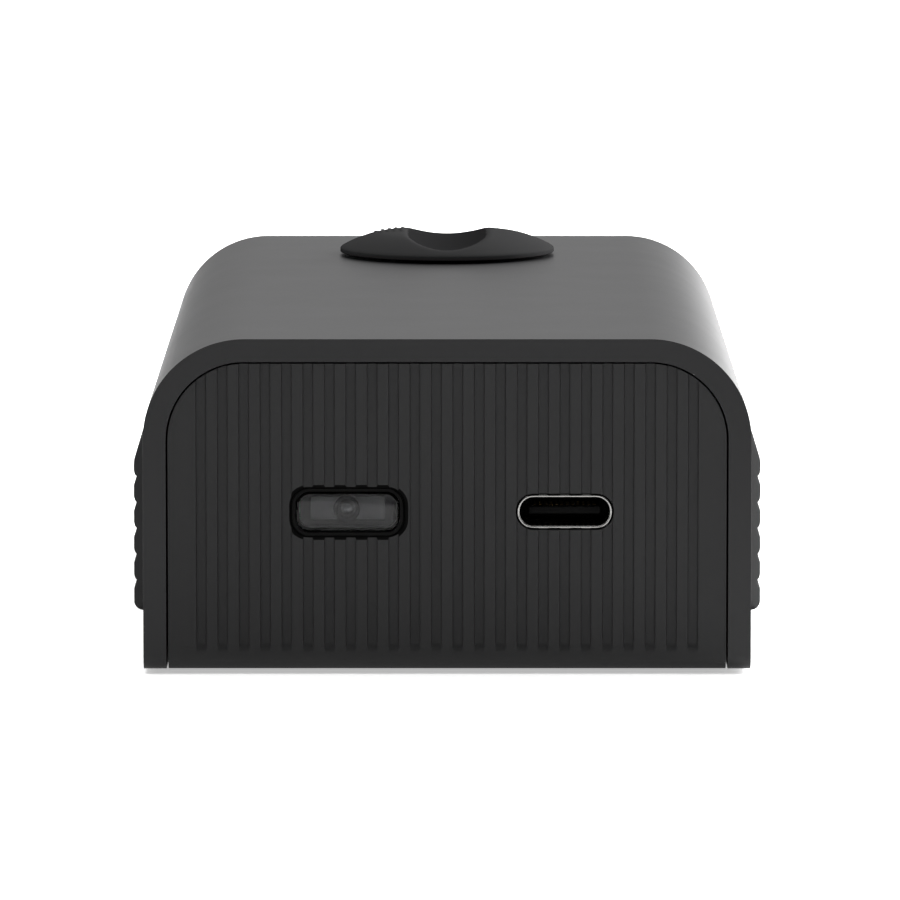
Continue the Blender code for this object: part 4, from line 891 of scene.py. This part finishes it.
def block_shape(low, high):
    bm = bmesh.new()
    add_block(bm, low, high)
    return piece_from(bm, "block_tool", None)


def round_shape(middle, radius, low, high, steps=64):
    """An upright cylinder between two heights."""
    bm = bmesh.new()
    bmesh.ops.create_cone(
        bm, cap_ends=True, segments=steps, radius1=radius, radius2=radius, depth=high - low
    )
    bmesh.ops.translate(bm, vec=(middle[0], middle[1], (low + high) / 2), verts=bm.verts)
    return piece_from(bm, "round_tool", None)


satin_black = moulded(
    "satin_black_shell", (0.0045, 0.0045, 0.005), 0.4, (0.16, 0.002), 0.04, 0.26, spread=0.04
)
shell_bm = arch_sheet(
    shell_half, shell_low.z, shell_high.z, shell_radius, shell_low.y, shell_high.y, 32
)
shell = piece_from(shell_bm, "outer_shell_moulded", satin_black)
wall = shell.modifiers.new("wall", "SOLIDIFY")
wall.thickness = shell_wall
wall.offset = -1.0
wall.use_even_offset = True
settle(shell)

cap_low, cap_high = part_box("button_cap")
clip_low, clip_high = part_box("button_clip")
button_y = (cap_low.y + cap_high.y) / 2
stem_radius = 3.6 * MM
pocket_radius = 6.6 * MM
pocket_depth = 1.1 * MM
fit_gap = 0.3 * MM
guide_wall = 1.9 * MM
post_radius = 2.2 * MM
post_hole_radius = 0.75 * MM
post_hole_depth = 4 * MM
screw_boss_half = 2.1 * MM
screw_boss_height = 8 * MM
screw_hole_radius = 1.05 * MM
screw_hole_depth = 6.8 * MM
guide_low = clip_high.z + fit_gap
inside_roof = shell_high.z - shell_wall / 2
above = shell_high.z + MM
bosses = [round_shape((0, button_y), stem_radius + guide_wall, guide_low, inside_roof)]
holes = [round_shape((0, button_y), stem_radius + fit_gap, guide_low - MM, above)]
holes.append(round_shape((0, button_y), pocket_radius, shell_high.z - pocket_depth, above))
switch_board_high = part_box("switch_board")[1]
for side in ("left", "right"):
    low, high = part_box(f"switch_screw_{side}")
    middle = ((low.x + high.x) / 2, button_y)
    post_low = switch_board_high.z + fit_gap
    hole_high = post_low + post_hole_depth
    bosses.append(round_shape(middle, post_radius, post_low, inside_roof, 32))
    holes.append(round_shape(middle, post_hole_radius, post_low - MM, hole_high, 24))
base_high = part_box("base_plate")[1]
for corner in CORNERS:
    low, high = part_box(f"base_screw_{corner}")
    middle = ((low.x + high.x) / 2, (low.y + high.y) / 2)
    boss_low = base_high.z + fit_gap
    hole_high = boss_low + screw_hole_depth
    edge = math.copysign(shell_half - shell_wall / 2, middle[0])
    inner = middle[0] - math.copysign(screw_boss_half, middle[0])
    boss_from = (min(edge, inner), middle[1] - screw_boss_half, boss_low)
    boss_to = (max(edge, inner), middle[1] + screw_boss_half, boss_low + screw_boss_height)
    bosses.append(block_shape(boss_from, boss_to))
    holes.append(round_shape(middle, screw_hole_radius, boss_low - MM, hole_high, 24))
for end_y, inward in ((shell_low.y, 1), (shell_high.y, -1)):
    roll_bm = bmesh.new()
    corner_points = [(end_y - inward * MM, shell_low.z + foot_roll)]
    for i in range(9):
        angle = math.radians(90 * i / 8)
        corner_points.append(
            (
                end_y + inward * foot_roll * (1 - math.cos(angle)),
                shell_low.z + foot_roll * (1 - math.sin(angle)),
            )
        )
    corner_points.append((end_y + inward * foot_roll, shell_low.z - MM))
    corner_points.append((end_y - inward * MM, shell_low.z - MM))
    outline = [roll_bm.verts.new((-2 * shell_half, y, z)) for y, z in corner_points]
    grown = bmesh.ops.extrude_face_region(roll_bm, geom=[roll_bm.faces.new(outline)])["geom"]
    moved = [item for item in grown if isinstance(item, bmesh.types.BMVert)]
    bmesh.ops.translate(roll_bm, vec=(4 * shell_half, 0, 0), verts=moved)
    holes.append(piece_from(roll_bm, "roll_tool", None))

grip_recess = 0.6 * MM
grip_corner = 2.8 * MM
grip_gap = 0.25 * MM
recess_gap = 0.06 * MM


def grip_slab(side, start, end, gap, name):
    """A slab with a grip's rounded outline, grown by a gap, from one place across to another."""
    low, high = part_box(f"grip_{side}")
    size = (high.y - low.y + 2 * gap, high.z - low.z + 2 * gap)
    middle = ((low.y + high.y) / 2, (low.z + high.z) / 2)
    slab = ringed(size, grip_corner, middle, [(start, 0.0), (end, 0.0)], name, None)
    for vert in slab.data.vertices:
        vert.co = (vert.co.y, vert.co.x, vert.co.z)
    slab.data.flip_normals()
    return slab


for side, sign in SIDES:
    start, end = sign * (shell_half - grip_recess), sign * 2 * shell_half
    holes.append(grip_slab(side, start, end, grip_gap, "recess_tool"))
shape_with(shell, bosses, "UNION")
shape_with(shell, holes, "DIFFERENCE")
round_edges(shell, 0.2 * MM, 3, 42)
smooth(shell, 32)
stand_for(shell, HOUSING, "satin_shell", "outer_shell")

# ---------------------------------------------------------------------------------------------
# Side grips
# A raised pad of soft black rubber glued into a shallow recess on each side. It slopes down to the
# shell at its top and ends, and six long ribs run along it.
# ---------------------------------------------------------------------------------------------

grip_rubber = moulded("grip_rubber_black", (0.01, 0.01, 0.0103), 0.85, (0.09, 0.003), 0.1, 0.03)
grip_slope = 3.95 * MM
grip_foot = 1.1 * MM
rib_pitch = 2.47 * MM
rib_valley = 0.32 * MM
rib_flank = 0.95 * MM
rib_round = 0.5 * MM
rib_count = 6
rib_start = 5.29 * MM
foot_overshoot = 1.25
height_blend = 0.05 * MM


def inside_outline(across, up, half_length, half_height, radius, open_foot=False):
    """How far a point lies inside a rounded rectangle, which may run on below its foot."""
    from_end = half_length - abs(across)
    from_top = half_height - (up if open_foot else abs(up))
    if from_end < radius and from_top < radius:
        return radius - math.hypot(radius - from_end, radius - from_top)
    return min(from_end, from_top)


def rib_height(below_top, proud):
    """The ribs' height at a distance below the top of the pad."""
    step = (below_top - rib_start) / rib_pitch
    if step < -1 or step > rib_count - 1:
        return proud
    after = (step - math.floor(step)) * rib_pitch
    before = rib_pitch - after
    height = proud
    if step >= 0 and after < rib_flank:
        height = min(height, proud - rib_valley * (1 - 2 * ease(after / (2 * rib_flank))))
    if before < rib_round and step < rib_count - 2:
        rounding = math.sqrt(1 - (1 - before / rib_round) ** 2)
        height = min(height, proud - rib_valley * (1 - rounding))
    return height


def make_grip(side, sign):
    low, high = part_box(f"grip_{side}")
    gap = grip_gap - recess_gap
    half_length = (high.y - low.y) / 2 + gap
    half_height = (high.z - low.z) / 2 + gap
    middle_z = (high.z + low.z) / 2
    proud = (high.x if sign > 0 else -low.x) - shell_half
    ends = [0.0, 0.25, 0.6, 1.2, 1.8, 2.4, 2.8, 3.1, 3.45, 3.8, 4.4, 5.2]
    columns = [-half_length + value * MM for value in ends] + [-20 * MM, 0.0]
    columns += [-value for value in reversed(columns[:-1])]
    rows = [half_height * (1 - i / 100) for i in range(201)]
    bm = bmesh.new()
    bmesh.ops.create_grid(bm, x_segments=len(columns) - 1, y_segments=len(rows) - 1, size=0.5)
    for vert in bm.verts:
        y = columns[round((vert.co.x + 0.5) * (len(columns) - 1))]
        up = rows[round((vert.co.y + 0.5) * (len(rows) - 1))]
        slope = inside_outline(y, up, half_length, half_height, grip_corner, open_foot=True)
        edge = inside_outline(y, up, half_length, half_height, grip_corner)
        foot_share = min(1.0, max(0.0, edge / grip_foot))
        pad = proud * min(foot_overshoot, max(0.0, slope / grip_slope))
        foot = proud * foot_overshoot * (0.06 + 0.94 * math.sqrt(1 - (1 - foot_share) ** 2))
        heights = (pad, foot, rib_height(half_height - up, proud))
        soft = -height_blend * math.log(sum(math.exp(-value / height_blend) for value in heights))
        vert.co = (sign * (shell_half + max(0.0, soft)), y, middle_z + up)
    grown = bmesh.ops.extrude_face_region(bm, geom=bm.faces[:])["geom"]
    for item in grown:
        if isinstance(item, bmesh.types.BMVert):
            item.co.x = sign * (shell_half - grip_recess + 0.02 * MM)
    grip = piece_from(bm, f"grip_{side}_ribbed", grip_rubber)
    start, end = sign * (shell_half - 2 * grip_recess), sign * 2 * shell_half
    shape_with(grip, [grip_slab(side, start, end, gap, "grip_tool")], "INTERSECT")
    smooth(grip, 50)
    stand_for(grip, HOUSING, "grip_rubber", f"grip_{side}")


for side, sign in SIDES:
    make_grip(side, sign)

# ---------------------------------------------------------------------------------------------
# Press button
# A round cap of soft-touch black plastic with five fine ridges. Its finger groove gets a darker
# black as painted shade.
# Its stem slides in the shell's guide and is kept by a nylon clip. A coil spring lifts it off the
# switch.
# ---------------------------------------------------------------------------------------------

cap_black = moulded("button_black", (0.027, 0.027, 0.0274), 0.9, (0.08, 0.002), 0.08, 0.0)
# The finger groove's darker black is painted shade that stands in for the shading of the hollow.
groove_painted_shade = moulded("groove_painted_shade", (0.0115, 0.0115, 0.0118), 0.8, (0.08, 0.001), 0.08, 0.0)
rim_low = 0.32
profile_step = 0.2
cap_outline = [
    *((0.0, 2.45), (3.0, 2.45), (4.4, 2.44), (5.4, 2.42), (6.2, 2.38), (6.9, 2.32), (7.4, 2.24)),
    *((7.9, 2.12), (8.5, 1.94), (9.2, 1.69), (9.8, 1.44), (10.3, 1.2), (10.65, 1.02)),
    *((10.88, 0.88), (11.0, 0.77), (11.04, 0.68), (11.04, 0.38), (11.0, 0.33), (10.9, rim_low)),
]
clip_gap = 0.1 * MM
neck_radius = stem_radius - 0.5 * MM
shell_top = shell_high.z


def cap_height(radius):
    """The dome's height above the shell at a distance from its middle, before it is grooved."""
    for (r0, h0), (r1, h1) in zip(cap_outline, cap_outline[1:]):
        if r0 * MM <= radius <= r1 * MM:
            return MM * (h0 + (h1 - h0) * (radius / MM - r0) / (r1 - r0))
    return 0.35 * MM


cap_profile = []
for (r0, h0), (r1, h1) in zip(cap_outline, cap_outline[1:]):
    parts = max(1, round((r1 - r0) / profile_step))
    for part in range(parts):
        share = part / parts
        cap_profile.append(((r0 + (r1 - r0) * share) * MM, (h0 + (h1 - h0) * share) * MM))
cap_profile += [
    (10.9 * MM, rim_low * MM),
    (stem_radius, rim_low * MM),
    (stem_radius, clip_high.z + clip_gap - shell_top),
    (neck_radius, clip_high.z + clip_gap - shell_top),
    (neck_radius, clip_low.z - clip_gap - shell_top),
    (stem_radius, clip_low.z - clip_gap - shell_top),
    (stem_radius, cap_low.z + 0.3 * MM - shell_top),
    (stem_radius - 0.3 * MM, cap_low.z - shell_top),
    (0.0, cap_low.z - shell_top),
]
cap_middle = (0.0, button_y, shell_top)
cap = turned(cap_profile, cap_middle, (0, 0, 1), 240, "button_cap_moulded", cap_black, groove_painted_shade)
groove_radius = 8.8 * MM
groove_floor = shell_top + 1.3 * MM
lip_blend = 0.07 * MM
lowered = {}
for vert in cap.data.vertices:
    if vert.co.z > shell_top + 0.9 * MM and abs(vert.co.x) < 0.9 * groove_radius:
        groove = groove_floor + groove_radius - math.sqrt(groove_radius**2 - vert.co.x**2)
        over = (vert.co.z - groove) / lip_blend
        lowered[vert.index] = lip_blend * math.log(1 + math.exp(min(60.0, over)))
        vert.co.z -= lowered[vert.index]
# Faces deep in the groove take the darker black, painted shade in the hollow.
for face in cap.data.polygons:
    if min(lowered.get(index, 0.0) for index in face.vertices) > 1.5 * lip_blend:
        face.material_index = 1

ridges = []
ridge_near, ridge_far, ridge_end = -1.0 * MM, 4.8 * MM, 0.4 * MM
section = [(-0.2, -0.3), (-0.19, -0.04), (-0.08, 0.0), (0.08, 0.0), (0.19, -0.04), (0.2, -0.3)]
for i in range(5):
    x = -cap_high.x * (0.42 + 0.062 * i)

    def place(y, j):
        fade = ease(min(y - ridge_near, ridge_far - y) / ridge_end)
        top = shell_top + cap_height(math.hypot(x, y)) + (0.16 * fade - 0.06) * MM
        return (x + section[j][0] * MM, button_y + y, top + section[j][1] * MM)

    stations = [ridge_near + (ridge_far - ridge_near) * j / 16 for j in range(17)]
    ridge_bm = swept(len(section), stations, place)
    ridges.append(piece_from(ridge_bm, "ridge_tool", None))
shape_with(cap, ridges, "UNION")
smooth(cap, 35)
stand_for(cap, "button", "button_plastic", "button_cap")

clip_nylon = moulded("clip_nylon_black", (0.03, 0.03, 0.03), 0.5, (0.3, 0.004), 0.2)
rounded_copy("button_clip", clip_nylon, "nylon_black", 0.08 * MM, body="button")

spring_low, spring_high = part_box("button_spring")
wire_radius = 0.16 * MM
coil_radius = (spring_high.x - spring_low.x) / 2 - wire_radius
coil_rise = spring_high.z - spring_low.z - 2 * wire_radius
turn_steps = 48
coil_steps = 3 * turn_steps
wire_sides = 12


def wire_place(step, i):
    """A place on the wire's skin: how far along the coil, and which side of the wire."""
    angle = math.radians(360 * step / turn_steps)
    around = math.radians(360 * i / wire_sides)
    reach = coil_radius + wire_radius * math.cos(around)
    height = spring_low.z + wire_radius * (1 + math.sin(around)) + coil_rise * step / coil_steps
    return (reach * math.cos(angle), button_y + reach * math.sin(angle), height)


spring_bm = swept(wire_sides, list(range(coil_steps + 1)), wire_place)
spring = piece_from(spring_bm, "button_spring_coil", stainless)
smooth(spring, 50)
stand_for(spring, HOUSING, "stainless", "button_spring")
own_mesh(spring)

# ---------------------------------------------------------------------------------------------
# Switch
# A small push switch on its own board, which hangs from two posts under the shell's roof on two
# screws. Its cream plunger meets the button's stem.
# ---------------------------------------------------------------------------------------------

dress("switch_board", board_green)
dress("switch_body", chip_black)
dress("switch_plunger", cream_nylon)
for side in ("left", "right"):
    dress(f"switch_screw_{side}", black_steel)
